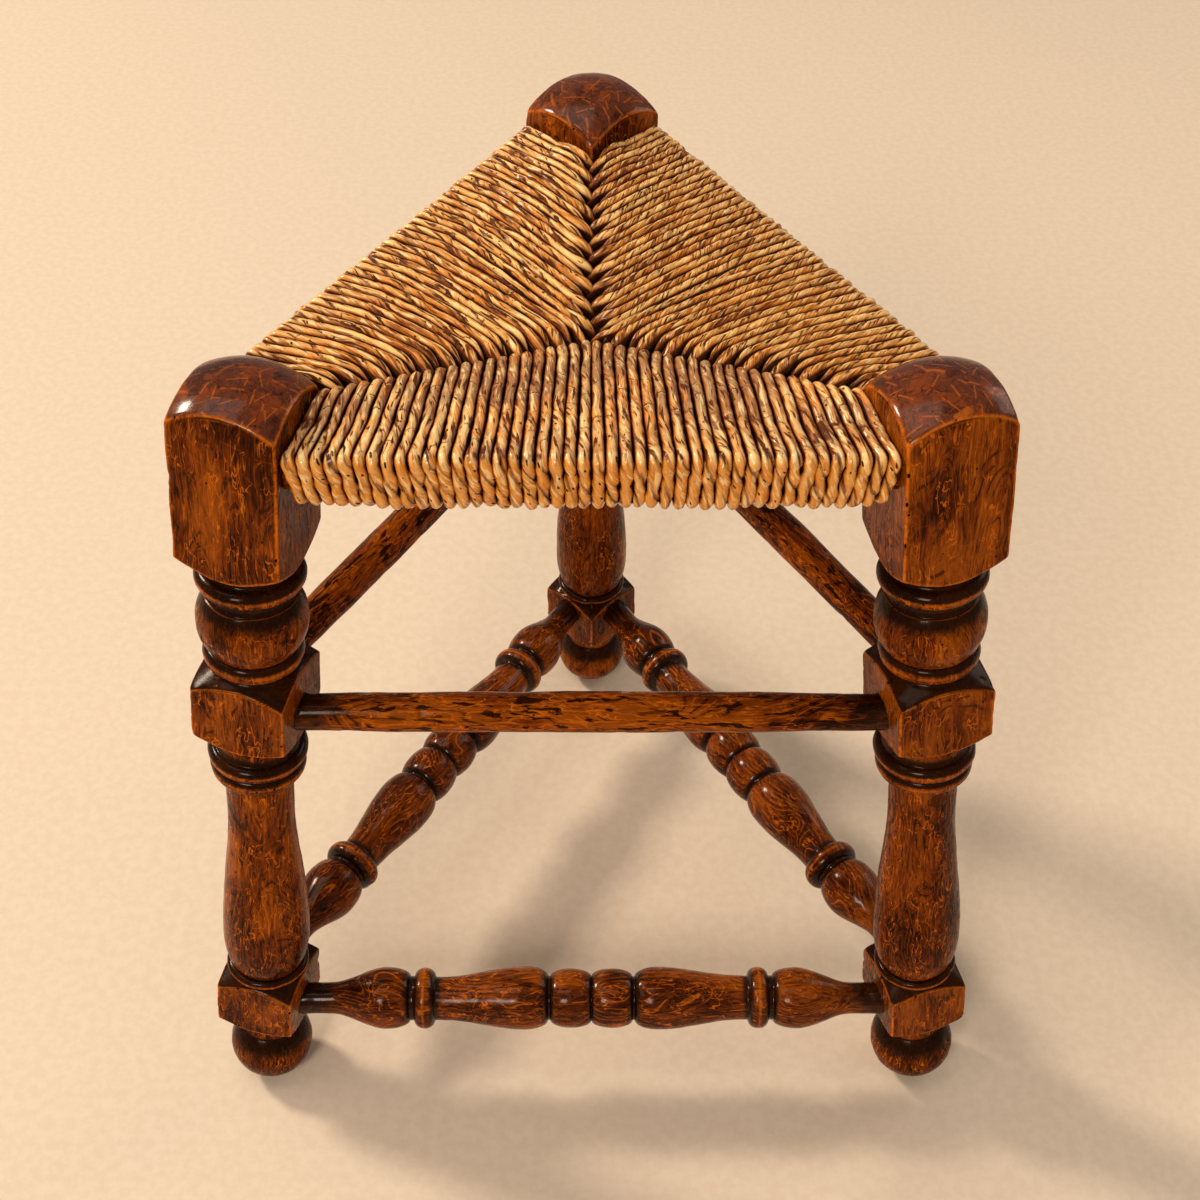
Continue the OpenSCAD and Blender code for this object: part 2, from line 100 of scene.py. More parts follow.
def smooth_min(a: Array, b: Array, reach: float) -> Array:
    """Returns the smaller of two values, rounded over where they differ by less than reach.

    The rounding takes off h^2 * reach / 4, where h falls from 1 at equal values to 0 at reach.
    """
    h = np.clip(1 - np.abs(a - b) / reach, 0, 1)
    return np.minimum(a, b) - h * h * reach / 4


def unit(vectors: Array) -> Array:
    """Returns the vectors at length 1."""
    return vectors / np.maximum(np.linalg.norm(vectors, axis=-1, keepdims=True), 1e-9)


def joined(*axes: Array) -> Array:
    """Returns coordinates, brought to one shape, as points."""
    return np.stack(np.broadcast_arrays(*axes), axis=-1)


def turned(points: Array, degrees: float) -> Array:
    """Returns the points turned about the vertical axis."""
    c, s = math.cos(math.radians(degrees)), math.sin(math.radians(degrees))
    x, y, z = np.moveaxis(points, -1, 0)
    return joined(x * c - y * s, x * s + y * c, z)


class Ripple:
    """Smooth noise in space: a sum of plane waves with random ways, lengths and starts."""

    def __init__(self, rng: Random, shortest: float, longest: float) -> None:
        """Draws the waves, whose lengths lie between the two given ones."""
        waves = 9
        lengths = rng.uniform(shortest, longest, waves)
        self.waves = unit(rng.normal(size=(waves, 3))) * (2 * math.pi / lengths)[:, None]
        self.starts = rng.uniform(0, 2 * math.pi, waves)
        self.scale = math.sqrt(2 / waves)

    def __call__(self, points: Array) -> Array:
        """Returns the noise at the points, mostly between -2 and 2."""
        return np.sin(points @ self.waves.T + self.starts).sum(axis=-1) * self.scale


def wander(rng: Random, along: Array, longest: float, shortest: float) -> Array:
    """Gives every row of a table its own smooth noise.

    Args:
        rng: Source of the random waves.
        along: Distances, one row for each cord.
        longest: Length of the longest wave.
        shortest: Length of the shortest wave.

    Returns:
        The noise at each distance, mostly between -2 and 2.
    """
    waves = 5
    lengths = np.geomspace(longest, shortest, waves)
    starts = rng.uniform(0, 2 * math.pi, (len(along), 1, waves))
    return np.sin(along[..., None] * 2 * math.pi / lengths + starts).sum(axis=-1) * math.sqrt(2 / waves)


# Turned outlines, as tables of radius and place along the axis


def half_round(start: float, width: float, side: float, top: float, count: int = 24) -> Array:
    """Returns a ring's outline: half an ellipse that stands on the side radius."""
    a = np.linspace(-math.pi / 2, math.pi / 2, count)
    return joined(side + (top - side) * np.cos(a), start + width / 2 * (1 + np.sin(a)))


def ball_curve(start: float, width: float, radius: float, count: int = 24) -> Array:
    """Returns the outline of a ball between two places: the root of r^2 - d^2."""
    d = np.linspace(-width / 2, width / 2, count)
    return joined(np.sqrt(radius**2 - d**2), start + width / 2 + d)


def cove(start: float, width: float, radius: float, depth: float, count: int = 12) -> Array:
    """Returns a hollow: half a sine wave cut into the radius."""
    t = np.linspace(0, 1, count)
    return joined(radius - depth * np.sin(math.pi * t), start + width * t)


def ease(start: float, end: float, first: float, last: float, count: int = 30) -> Array:
    """Returns a slope with level ends: half a cosine wave between two radii."""
    t = np.linspace(0, 1, count)
    return joined(mix(first, last, (1 - np.cos(math.pi * t)) / 2), mix(start, end, t))


def swell(start: float, end: float, first: float, last: float, count: int = 24) -> Array:
    """Returns a quarter of an ellipse, steep at its start and level at its end."""
    a = np.linspace(0, math.pi / 2, count)
    return joined(mix(first, last, np.sin(a)), mix(end, start, np.cos(a)))


def walk(points: Array, step: float) -> Array:
    """Returns points at even distances along a line, without its first point."""
    run = np.concatenate([[0], np.cumsum(np.linalg.norm(np.diff(points, axis=0), axis=1))])
    count = max(1, round(run[-1] / step))
    places = np.linspace(0, run[-1], count + 1)[1:]
    return np.stack([np.interp(places, run, axis) for axis in points.T], axis=-1)


def hollow_depth(radii: Array, places: Array, reach: float) -> Array:
    """Tells how far each row of a turning lies below its neighbours.

    A neighbour counts by how much it stands out, less the more the further it is, and not at all
    beyond the reach.

    Args:
        radii: Mean radius of each row.
        places: Place of each row along the axis.
        reach: Distance over which neighbours count.

    Returns:
        The depth of each row in millimetres.
    """
    near = np.clip(1 - np.abs(places[:, None] - places) / reach, 0, 1)
    return (near * (radii - radii[:, None])).max(axis=1)


def crests(radii: Array, places: Array, crown: float = 2.6, flank: float = 3.6) -> Array:
    """Finds the crests of narrow rings.

    A row is on a crest where nothing within the crown's reach stands out further, and the outline
    falls by about 1 mm within the flank's reach.

    Args:
        radii: Mean radius of each row.
        places: Place of each row along the axis.
        crown: Distance within which nothing stands out further.
        flank: Distance within which the outline falls.

    Returns:
        How much each row is a crest, from 0 to 1.
    """
    distance = np.abs(places[:, None] - places)
    rise = radii - radii[:, None]
    above = np.where(distance < crown, rise, -math.inf).max(axis=1)
    below = -np.where(distance < flank, rise, math.inf).min(axis=1)
    return smooth_step(0.05, 0.01, above) * smooth_step(0.6, 1.1, below)


# Surfaces on a grid


def grid_normals(points: Array) -> Array:
    """Returns the outward normals of a grid of rows round a line: round the row, then along."""
    around = np.roll(points, -1, axis=-2) - np.roll(points, 1, axis=-2)
    along = np.gradient(points, axis=-3)
    return unit(np.cross(around, along))


def sharpness(points: Array, normals: Array) -> Array:
    """Tells how sharply a closed grid bends outward.

    Along each of the two ways of the grid, it is the change between neighbouring unit steps
    against the normal, over the mean step. The sharper of the two ways counts.

    Args:
        points: Rows and columns of points.
        normals: Outward normal of each point.

    Returns:
        The bend of each point in 1/mm, above 0 on an edge and below 0 in a groove.
    """

    def bend(before: Array, after: Array) -> Array:
        """Returns the bend between the steps before and after each point."""
        step = (np.linalg.norm(before, axis=-1) + np.linalg.norm(after, axis=-1)) / 2
        change = np.einsum("...k,...k->...", unit(after) - unit(before), normals)
        return -change / np.maximum(step, 0.2)

    next_column = np.roll(points, -1, axis=1) - points
    round_bend = bend(np.roll(next_column, 1, axis=1), next_column)
    rows = np.diff(points, axis=0)
    along_bend = bend(np.concatenate([rows[:1], rows]), np.concatenate([rows, rows[-1:]]))
    return np.where(np.abs(along_bend) > np.abs(round_bend), along_bend, round_bend)


def blurred(values: Array, passes: int) -> Array:
    """Returns a grid of values, each mixed with its four neighbours several times."""
    for _ in range(passes):
        rows = np.concatenate([values[:1], values, values[-1:]])
        near = rows[:-2] + rows[2:] + np.roll(values, 1, axis=1) + np.roll(values, -1, axis=1)
        values = values / 2 + near / 8
    return values


def dent(points: Array, normals: Array, rng: Random, count: int, edges: Array) -> Array:
    """Knocks small dents into a surface, mostly where it has edges.

    Each dent moves points inward by its depth times exp(-(distance / size)^2).

    Args:
        points: Rows and columns of points.
        normals: Outward normal of each point.
        rng: Source of the dents' places and sizes.
        count: Number of dents.
        edges: How much each point is an edge, from 0 to 1.

    Returns:
        The dented points.
    """
    chance = (edges + 0.04).ravel()
    centres = points.reshape(-1, 3)[rng.choice(chance.size, count, p=chance / chance.sum())]
    sizes = rng.uniform(0.8, 2.6, count)
    depths = rng.uniform(0.12, 0.5, count) * np.sqrt(sizes)
    loss = np.zeros(points.shape[:-1])
    for centre, size, depth in zip(centres, sizes, depths):
        distance = np.linalg.norm(points - centre, axis=-1)
        loss = np.maximum(loss, depth * np.exp(-((distance / size) ** 2)))
    return points - normals * loss[..., None]


def worn_down(points: Array, rng: Random, dents: int, blunt: float,
              sharp: float) -> tuple[Array, Array, Array, Array]:
    """Dents a turned surface and tells where its edges are.

    Args:
        points: Rows and columns of points.
        rng: Source of the dents.
        dents: Number of dents.
        blunt: Bend in 1/mm where an edge starts.
        sharp: Bend in 1/mm from which it is a whole edge.

    Returns:
        The dented points, and the normals, bends and edges of the surface before.
    """
    normals = grid_normals(points)
    bend = blurred(sharpness(points, normals), 2)
    edges = smooth_step(blunt, sharp, bend)
    return dent(points, normals, rng, dents, edges), normals, bend, edges


def make_piece(name: str, tubes: Array, marks: dict[str, Array],
               uv: Array | None = None) -> Piece:
    """Makes one object of closed tubes.

    Neighbouring rows of points are joined by quads, and a fan of triangles to the middle of the
    end row closes each end. Columns run anticlockwise seen from the last row.

    Args:
        name: Name of the piece.
        tubes: Points in millimetres, as tubes, rows, columns and three coordinates.
        marks: Values to keep on the points, by attribute name, shaped as the points are.
        uv: Texture places, with one column more than the points, where the tube closes.

    Returns:
        The new object, at the origin.
    """
    count, rows, columns, _ = tubes.shape
    index = np.arange(count * rows * columns).reshape(count, rows, columns)
    right = np.roll(index, -1, axis=2)
    quads = np.stack([index[:, :-1], right[:, :-1], right[:, 1:], index[:, 1:]], axis=-1)
    poles = index.size + np.arange(2 * count).reshape(2, count, 1) + np.zeros(columns, int)
    fans = np.stack([
        np.stack([poles[0], right[:, 0], index[:, 0]], axis=-1),
        np.stack([poles[1], index[:, -1], right[:, -1]], axis=-1),
    ])

    def with_poles(values: Array) -> Array:
        """Returns the values of all points, then those of the first and last poles."""
        ends = [values[:, 0].mean(axis=1), values[:, -1].mean(axis=1)]
        tail = values.shape[3:]
        return np.concatenate([values.reshape(-1, *tail)] + [end.reshape(-1, *tail) for end in ends])

    corners = np.concatenate([quads.ravel(), fans.ravel()])
    starts = np.concatenate([
        np.arange(quads.size // 4) * 4, quads.size + np.arange(fans.size // 3) * 3,
    ])
    mesh = bpy.data.meshes.new(name)
    mesh.vertices.add(index.size + 2 * count)
    mesh.loops.add(len(corners))
    mesh.polygons.add(len(starts))
    mesh.vertices.foreach_set("co", (with_poles(tubes) * MM).astype(np.float32).ravel())
    mesh.loops.foreach_set("vertex_index", corners.astype(np.int32))
    mesh.polygons.foreach_set("loop_start", starts.astype(np.int32))
    mesh.update(calc_edges=True)
    mesh.polygons.foreach_set("use_smooth", np.ones(len(starts), bool))
    for mark, values in marks.items():
        kind, key = ("FLOAT", "value") if values.ndim == 3 else ("FLOAT_VECTOR", "vector")
        attribute = mesh.attributes.new(mark, kind, "POINT")
        attribute.data.foreach_set(key, with_poles(values).astype(np.float32).ravel())
    if uv is not None:
        quad_uv = np.stack([uv[:, :-1, :-1], uv[:, :-1, 1:], uv[:, 1:, 1:], uv[:, 1:, :-1]], axis=3)
        rims = ((uv[:, 0, :-1], uv[:, 0, 1:]), (uv[:, -1, 1:], uv[:, -1, :-1]))
        fan_uv = np.stack([np.stack([(a + b) / 2, b, a], axis=2) for a, b in rims])
        layer = mesh.uv_layers.new(name="cord")
        layer.data.foreach_set("uv", np.concatenate([quad_uv.ravel(), fan_uv.ravel()]).astype(np.float32))
    piece = bpy.data.objects.new(name, mesh)
    bpy.context.scene.collection.objects.link(piece)
    return piece


def dress(piece: Piece, node: str, finish: Material) -> None:
    """Gives a new piece its finish and its body, and hides the node that it stands for."""
    piece.data.materials.append(finish)
    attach(piece, BODY)
    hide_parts(node)


def report(piece: Piece) -> None:
    """Logs a finished piece with its number of faces."""
    log.info("%s: %d faces", piece.name, len(piece.data.polygons))


# Shader nodes


def srgb(red: int, green: int, blue: int) -> Colour:
    """Returns a screen colour, given from 0 to 255, as linear light."""
    return tuple(c / 12.92 if c <= 0.04045 else ((c + 0.055) / 1.055) ** 2.4
                 for c in (red / 255, green / 255, blue / 255))


class Signal:
    """The output of a shader node. Its arithmetic adds Math nodes to the tree."""

    def __init__(self, wiring: "Wiring", socket: Socket) -> None:
        """Keeps the output with the wiring of its tree."""
        self.wiring = wiring
        self.socket = socket

    def __add__(self, other: "Signal | float") -> "Signal":
        """Returns the sum."""
        return self.wiring.math("ADD", self, other)

    def __sub__(self, other: "Signal | float") -> "Signal":
        """Returns the difference."""
        return self.wiring.math("SUBTRACT", self, other)

    def __rsub__(self, other: float) -> "Signal":
        """Returns a number less this signal."""
        return self.wiring.math("SUBTRACT", other, self)

    def __mul__(self, other: "Signal | float") -> "Signal":
        """Returns the product."""
        return self.wiring.math("MULTIPLY", self, other)

    def __truediv__(self, other: "Signal") -> "Signal":
        """Returns the quotient."""
        return self.wiring.math("DIVIDE", self, other)

    def __abs__(self) -> "Signal":
        """Returns the signal without its sign."""
        return self.wiring.math("ABSOLUTE", self)

    def held(self) -> "Signal":
        """Returns the result of the last Math node, now kept between 0 and 1."""
        self.socket.node.use_clamp = True
        return self

    def band(self, low: float, high: float, bottom: float = 0.0, top: float = 1.0) -> "Signal":
        """Returns the signal brought smoothly from the range low to high onto bottom to top."""
        return self.wiring.out("MapRange", {0: self, 1: low, 2: high, 3: bottom, 4: top},
                               interpolation_type="SMOOTHSTEP")


class Wiring:
    """Adds nodes to a shader tree and joins them."""

    def __init__(self, tree: Tree) -> None:
        """Starts on a tree, which keeps the nodes that it has."""
        self.tree = tree

    def feed(self, node: Node, inputs: dict) -> None:
        """Joins signals to a node's inputs, or sets the inputs to numbers and colours."""
        for key, value in inputs.items():
            socket = node.inputs[key]
            if isinstance(value, Signal):
                self.tree.links.new(value.socket, socket)
            elif socket.type == "RGBA":
                socket.default_value = (*value, 1.0)
            else:
                socket.default_value = value

    def add(self, kind: str, inputs: dict | None = None, **settings: object) -> Node:
        """Adds a node.

        Args:
            kind: The node's type without its first word, such as TexNoise.
            inputs: Signals, numbers or colours for its inputs, by name or number.
            settings: Properties of the node.

        Returns:
            The new node.
        """
        node = self.tree.nodes.new("ShaderNode" + kind)
        for key, value in settings.items():
            setattr(node, key, value)
        self.feed(node, inputs or {})
        return node

    def out(self, kind: str, inputs: dict | None = None, output: str | int = 0,
            **settings: object) -> Signal:
        """Adds a node in the same way and returns one of its outputs."""
        return Signal(self, self.add(kind, inputs, **settings).outputs[output])

    def outs(self, node: Node) -> dict[str, Signal]:
        """Returns all outputs of a node by name."""
        return {socket.name: Signal(self, socket) for socket in node.outputs}

    def group(self, group: Tree, inputs: dict) -> dict[str, Signal]:
        """Adds a node group with its inputs and returns its outputs by name."""
        return self.outs(self.add("Group", inputs, node_tree=group))

    def mark(self, name: str, output: str = "Fac") -> Signal:
        """Returns an attribute of the mesh."""
        return self.out("Attribute", output=output, attribute_name=name)

    def own_place(self) -> Signal:
        """Returns the place in the piece's own coordinates."""
        return self.out("TexCoord", output="Object")

    def math(self, operation: str, *values: Signal | float) -> Signal:
        """Returns the result of a Math node."""
        return self.out("Math", dict(enumerate(values)), operation=operation)

    def vector(self, operation: str, *values: Signal | tuple, output: str = "Vector") -> Signal:
        """Returns a result of a Vector Math node."""
        return self.out("VectorMath", dict(enumerate(values)), output, operation=operation)

    def scaled(self, place: Signal, x: float, y: float, z: float) -> Signal:
        """Returns a place multiplied along its three axes."""
        return self.vector("MULTIPLY", place, (x, y, z))

    def shifted(self, place: Signal, by: Signal, amount: float) -> Signal:
        """Returns a place moved by a colour, whose middle grey moves nothing, times an amount."""
        centred = self.vector("SUBTRACT", by, MIDDLE_GREY)
        return self.vector("ADD", place, self.scaled(centred, amount, amount, amount))

    def noise(self, place: Signal, scale: float, detail: float = 2.0, roughness: float = 0.5,
              distortion: float = 0.0, along: float = 1.0, output: str | int = 0) -> Signal:
        """Returns smooth noise.

        Args:
            place: Place at which it is read.
            scale: How fine it is.
            detail: Number of finer layers.
            roughness: Strength of the finer layers.
            distortion: How far it is bent by itself.
            along: Its fineness along Z, as a share of that across.
            output: Name or number of the output, which is a value from 0 to 1 or a colour.

        Returns:
            The noise at the place.
        """
        if along != 1.0:
            place = self.scaled(place, 1, 1, along)
        return self.out("TexNoise", {
            "Vector": place, "Scale": scale, "Detail": detail, "Roughness": roughness,
            "Distortion": distortion,
        }, output)

    def most(self, first: Signal, *others: Signal) -> Signal:
        """Returns the greatest of several signals."""
        for other in others:
            first = self.math("MAXIMUM", first, other)
        return first

    def layers(self, colour: Signal | Colour, *over: tuple[Signal, Signal | Colour]) -> Signal:
        """Returns a colour with others laid over it in order, each by its own share."""
        for share, layer in over:
            colour = self.out("Mix", {0: share, 6: colour, 7: layer}, 2, data_type="RGBA")
        return colour


class GroupMaker(Wiring):
    """A node group under construction, with named inputs and outputs."""

    def __init__(self, name: str, inputs: dict[str, str], outputs: dict[str, str]) -> None:
        """Makes the group with its sockets, whose kinds are Float, Vector or Color."""
        super().__init__(bpy.data.node_groups.new(name, "ShaderNodeTree"))
        for way, sockets in (("INPUT", inputs), ("OUTPUT", outputs)):
            for label, kind in sockets.items():
                self.tree.interface.new_socket(label, in_out=way, socket_type="NodeSocket" + kind)
        self.inside = self.outs(self.tree.nodes.new("NodeGroupInput"))
        self.end = self.tree.nodes.new("NodeGroupOutput")

    def put_out(self, **results: Signal) -> Tree:
        """Joins the results to the outputs of the same names and returns the group."""
        self.feed(self.end, results)
        return self.tree


def grain_group() -> Tree:
    """Makes the figure of old oak.

    The place is measured in metres with the grain along Z. Tone is the slow change between dark
    and light wood. Pores and Flecks are short dark and light dashes along the grain, Rings are
    thin lines like those of a map round the swirls of the grain, and Halos are light lines between
    them. Lines and Curls are thin lines of light wood, straight and winding, Blots are dark patches
    along the grain, and Height raises the wood between its pores and rings.
    """
    g = GroupMaker("oak grain", {"Place": "Vector"}, dict.fromkeys(
        ("Tone", "Pores", "Flecks", "Rings", "Lines", "Halos", "Curls", "Blots", "Height"), "Float"))
    place = g.inside["Place"]
    bent = g.shifted(place, g.noise(place, 70, along=0.5, output="Color"), 0.006)
    fibres = g.noise(bent, 520, 3, 0.6, along=0.07)
    patches = g.noise(place, 40, 3, along=0.4)
    fine = g.noise(bent, 900, 2, 0.6, along=0.13)
    swirl = g.noise(place, 34, 1, 0.4, 0.7, along=0.4)
    broken = g.noise(bent, 110, along=0.5)
    strand = g.noise(bent, 300, 1, along=0.07)
    winding = g.noise(bent, 300, 1, 0.5, 0.4, along=0.4)
    here = g.noise(place, 120, along=0.6)
    from_line = abs(g.math("FRACT", swirl * 19.0) - 0.5)
    pores = fine.band(0.56, 0.62) * patches.band(0.58, 0.45, 0.2)
    rings = from_line.band(0.16, 0.06) * broken.band(0.47, 0.58)
    return g.put_out(
        Tone=fibres * 0.35 + patches * 0.65,
        Pores=pores,
        Flecks=fine.band(0.43, 0.36) * patches.band(0.4, 0.6, 0.3),
        Rings=rings,
        Lines=abs(strand - 0.5).band(0.02, 0.004) * broken.band(0.55, 0.44),
        Halos=from_line.band(0.41, 0.48) * broken.band(0.46, 0.54),
        Curls=abs(winding - 0.5).band(0.026, 0.008) * here.band(0.5, 0.58),
        Blots=g.noise(bent, 330, 2, 0.6, along=0.22).band(0.565, 0.6),
        Height=fibres * 0.35 - pores * 0.5 - rings * 0.3,
    )


def pits_group() -> Tree:
    """Makes scattered round pits, such as worm holes.

    Each cell of the given spacing in 1/m may hold one pit. Size is its radius as a share of the
    cell, and Share tells how many of the cells hold one. Pit is 1 in a pit.
    """
    g = GroupMaker("pits", {"Place": "Vector", "Spacing": "Float", "Size": "Float", "Share": "Float"},
                   {"Pit": "Float"})
    cells = g.outs(g.add("TexVoronoi", {"Vector": g.inside["Place"], "Scale": g.inside["Spacing"]}))
    picked = g.out("SeparateColor", {0: cells["Color"]}, "Red")
    held = g.math("LESS_THAN", picked, g.inside["Share"])
    return g.put_out(Pit=((g.inside["Size"] - cells["Distance"]) * 30.0).held() * held)


def strokes_group() -> Tree:
    """Makes short straight scratches that lie in all directions.

    Each cell of the given spacing in 1/m may hold one scratch: the points within the length of the
    cell's centre whose distance from a plane through it, with a random normal, is below the width.
    Both are in metres. Share tells how many of the cells hold one. Stroke is 1 in a scratch.
    """
    g = GroupMaker("scratches", {
        "Place": "Vector", "Spacing": "Float", "Width": "Float", "Length": "Float", "Share": "Float",
    }, {"Stroke": "Float"})
    cells = g.outs(g.add("TexVoronoi", {"Vector": g.inside["Place"], "Scale": g.inside["Spacing"]}))
    offset = g.vector("SUBTRACT", g.inside["Place"], cells["Position"])
    normal = g.vector("NORMALIZE", g.vector("SUBTRACT", cells["Color"], MIDDLE_GREY))
    beside = g.vector("DOT_PRODUCT", offset, normal, output="Value")
    away = g.vector("LENGTH", offset, output="Value")
    thin = (1.0 - abs(beside) / g.inside["Width"]).held()
    short = (1.6 - away * 1.6 / g.inside["Length"]).held()
    picked = g.out("SeparateColor", {0: cells["Color"]}, "Blue")
    return g.put_out(Stroke=thin * short * g.math("LESS_THAN", picked, g.inside["Share"]))


def wear_dirt_and_shade_group() -> Tree:
    """Makes edge wear, and old dirt with painted shade, over a finish.

    Wear and Dirt come from the shape, 0 to 1. Both are broken up by noise at the place. Worn
    wood shows on the edges, and dirt with painted shade darkens the grooves and hollows. Undarkened
    falls to 0 where the dirt and painted shade lie.
    """
    g = GroupMaker("wear and dirt", {
        "Color": "Color", "Place": "Vector", "Wear": "Float", "Dirt": "Float",
        "Worn": "Color", "Grime": "Color",
    }, {"Color": "Color", "Clean": "Float"})
    rough = g.noise(g.inside["Place"], 260, 4, 0.7)
    slow = g.noise(g.inside["Place"], 55)
    worn = (g.inside["Wear"] * rough.band(0.3, 0.6) * slow.band(0.25, 0.6, 0.45)).held()
    # Dirt and painted shade: the darkened share goes to the dark grime and shade colour.
    dirt_and_shade_cover = (g.inside["Dirt"] + (rough - 0.5) * 0.5).band(0.1, 0.95) * 0.93
    colour = g.layers(g.inside["Color"], (worn, g.inside["Worn"]), (dirt_and_shade_cover, g.inside["Grime"]))
    return g.put_out(Color=colour, Clean=1.0 - dirt_and_shade_cover)


def fibre_group() -> Tree:
    """Makes the streaks of dry leaves.

    The place runs along the leaf in X and across it in Y, in lengths of a few streaks. Streak is
    the tone of the fibres, and Blotch is a slower change of tone along the leaf.
    """
    g = GroupMaker("leaf fibres", {"Place": "Vector"}, {"Streak": "Float", "Blotch": "Float"})
    place = g.inside["Place"]
    return g.put_out(Streak=g.noise(g.scaled(place, 0.22, 2.6, 1), 1.5, 3, 0.65, 0.25),
                     Blotch=g.noise(g.scaled(place, 0.5, 0.5, 1), 0.9, 3, 0.6, 0.4))


class Groups:
    """The node groups that the finishes share, each made once."""

    def __init__(self) -> None:
        """Makes all the groups."""
        self.grain = grain_group()
        self.pits = pits_group()
        self.strokes = strokes_group()
        self.wear = wear_dirt_and_shade_group()
        self.fibres = fibre_group()


class Paint(Wiring):
    """A material under construction, with its Principled shader."""

    def __init__(self, name: str) -> None:
        """Makes the material."""
        self.material = bpy.data.materials.new(name)
        self.material.use_nodes = True
        super().__init__(self.material.node_tree)

    def finish(self, inputs: dict, bump: dict | None = None) -> Material:
        """Feeds the shader, and a bump to its normal where one is given.

        Args:
            inputs: Signals, numbers and colours for the shader's inputs, by name.
            bump: The same for the Bump node.

        Returns:
            The finished material.
        """
        shader = self.tree.nodes["Principled BSDF"]
        self.feed(shader, inputs)
        if bump:
            self.feed(shader, {"Normal": self.out("Bump", bump)})
        return self.material


class GrainPlace(Enum):
    """Where a piece of wood keeps the place of its grain."""

    MARK = "mark"
    OBJECT = "object"


@dataclass(frozen=True)
class OakFinish:
    """Stained and waxed old oak."""

    name: str
    deep: Colour = srgb(64, 20, 1)
    body: Colour = srgb(107, 45, 7)
    bright: Colour = srgb(146, 71, 12)
    worn: Colour = srgb(220, 112, 18)
    dome: Colour = srgb(90, 43, 27)
    rubbed: Colour = srgb(132, 58, 18)
    shade: Colour = srgb(58, 24, 14)
    # The colour of dark grime, grain marks and holes, and of the painted shade.
    grime: Colour = srgb(22, 7, 1)
    sheen: Colour = (1.0, 0.42, 0.1)
    blots: float = 0.3
    flecks: float = 0.2
    halos: float = 0.14
    grain_place: GrainPlace = GrainPlace.MARK
    grain_turn: tuple[float, float, float] = (0.0, 0.0, 0.0)
    roughness: float = 0.24
    shine: float = 0.05
    coat: float = 0.03
    coat_roughness: float = 0.14
    relief: float = 0.5
    relief_depth: float = 0.0006

    def place(self, w: Wiring) -> Signal:
        """Returns the place in the grain, from its mark on the mesh or from the piece itself."""
        if self.grain_place is GrainPlace.MARK:
            return w.mark("grain", "Vector")
        return w.out("Mapping", {"Vector": w.own_place(), "Rotation": self.grain_turn})

    def material(self, groups: Groups) -> Material:
        """Makes the material.

        The figure gives the wood's tone, and the domed tops have a stain of their own, rubbed
        lighter in patches. Over it lie the dark rings, the light lines and scratches, and the dark
        cuts, pores, blots and fissures, which are fainter on the domes. Wear, and dirt with painted
        shade in the hollows and on faces that look up, both from the shape, and worm holes lie over
        all of it.

        Args:
            groups: The shared node groups.

        Returns:
            The material.
        """
        w = Paint(self.name)
        place = self.place(w)
        grain = w.group(groups.grain, {"Place": place})
        wear = w.mark("wear")
        crust = w.noise(place, 75, 4, 0.65, 0.3)
        top = ((crust - 0.5) * 0.9 + w.mark("dome")).band(0.4, 0.55)
        plain = 1.0 - top * 0.8

        rubbed = w.noise(w.shifted(place, crust, 0.012), 120, 2, 0.5, 0.4).band(0.53, 0.6)
        stain = w.layers(self.shade, (crust.band(0.4, 0.52), self.dome), (rubbed * 0.6, self.rubbed))
        scratches = w.group(groups.strokes, {
            "Place": place, "Spacing": 140.0, "Width": 0.0005, "Length": 0.01, "Share": 1.0,
        })["Stroke"]
        cuts = w.group(groups.strokes, {
            "Place": w.shifted(place, crust, 0.01), "Spacing": 230.0, "Width": 0.0004,
            "Length": 0.006, "Share": 1.0,
        })["Stroke"]
        figure = w.most(grain["Curls"] * 0.7, grain["Lines"] * 0.5,
                        grain["Flecks"] * self.flecks, grain["Halos"] * self.halos)
        fissures = abs(w.noise(place, 300, 1, along=0.05) - 0.5).band(0.02, 0.006)
        fissures = fissures * w.noise(place, 90, 1, along=0.3).band(0.5, 0.58)
        dashes = w.most(grain["Pores"], grain["Blots"] * self.blots, fissures * 0.75)
        wood = w.layers(
            self.deep,
            (grain["Tone"].band(0.38, 0.52), self.body),
            (grain["Tone"].band(0.5, 0.6) * 0.9, self.bright),
            (top * 0.85, stain),
            (grain["Rings"] * 0.7 * plain, self.grime),
            (w.most(figure * plain, scratches * (top * 0.3 + 0.12)), self.worn),
            (cuts * (top * 0.5 + 0.1), self.grime),
            (dashes * 0.85 * plain, self.grime),
        )
        dressed = w.group(groups.wear, {
            "Color": wood, "Place": place, "Wear": wear, "Dirt": w.mark("dirt"),
            "Worn": self.worn, "Grime": self.grime,
        })
        holes = w.group(groups.pits, {
            "Place": w.scaled(place, 1, 1, 0.7), "Spacing": 250.0, "Share": 0.45,
            "Size": wear * 0.1 + 0.13,
        })["Pit"]
        smear = w.noise(place, 90, 3, 0.6) - 0.5
        return w.finish({
            "Base Color": w.layers(dressed["Color"], (holes, self.grime)),
            "Roughness": (smear * 0.3 + self.roughness + grain["Pores"] * 0.2 + holes * 0.5).held(),
            "Specular IOR Level": self.shine,
            "Specular Tint": self.sheen,
            "Coat Weight": (1.0 - dressed["Clean"]) * 0.14 + self.coat + top * 0.3,
            "Coat Roughness": self.coat_roughness,
        }, {
            "Height": grain["Height"] - holes * 1.5 + crust * 0.5,
            "Strength": self.relief,
            "Distance": self.relief_depth,
        })


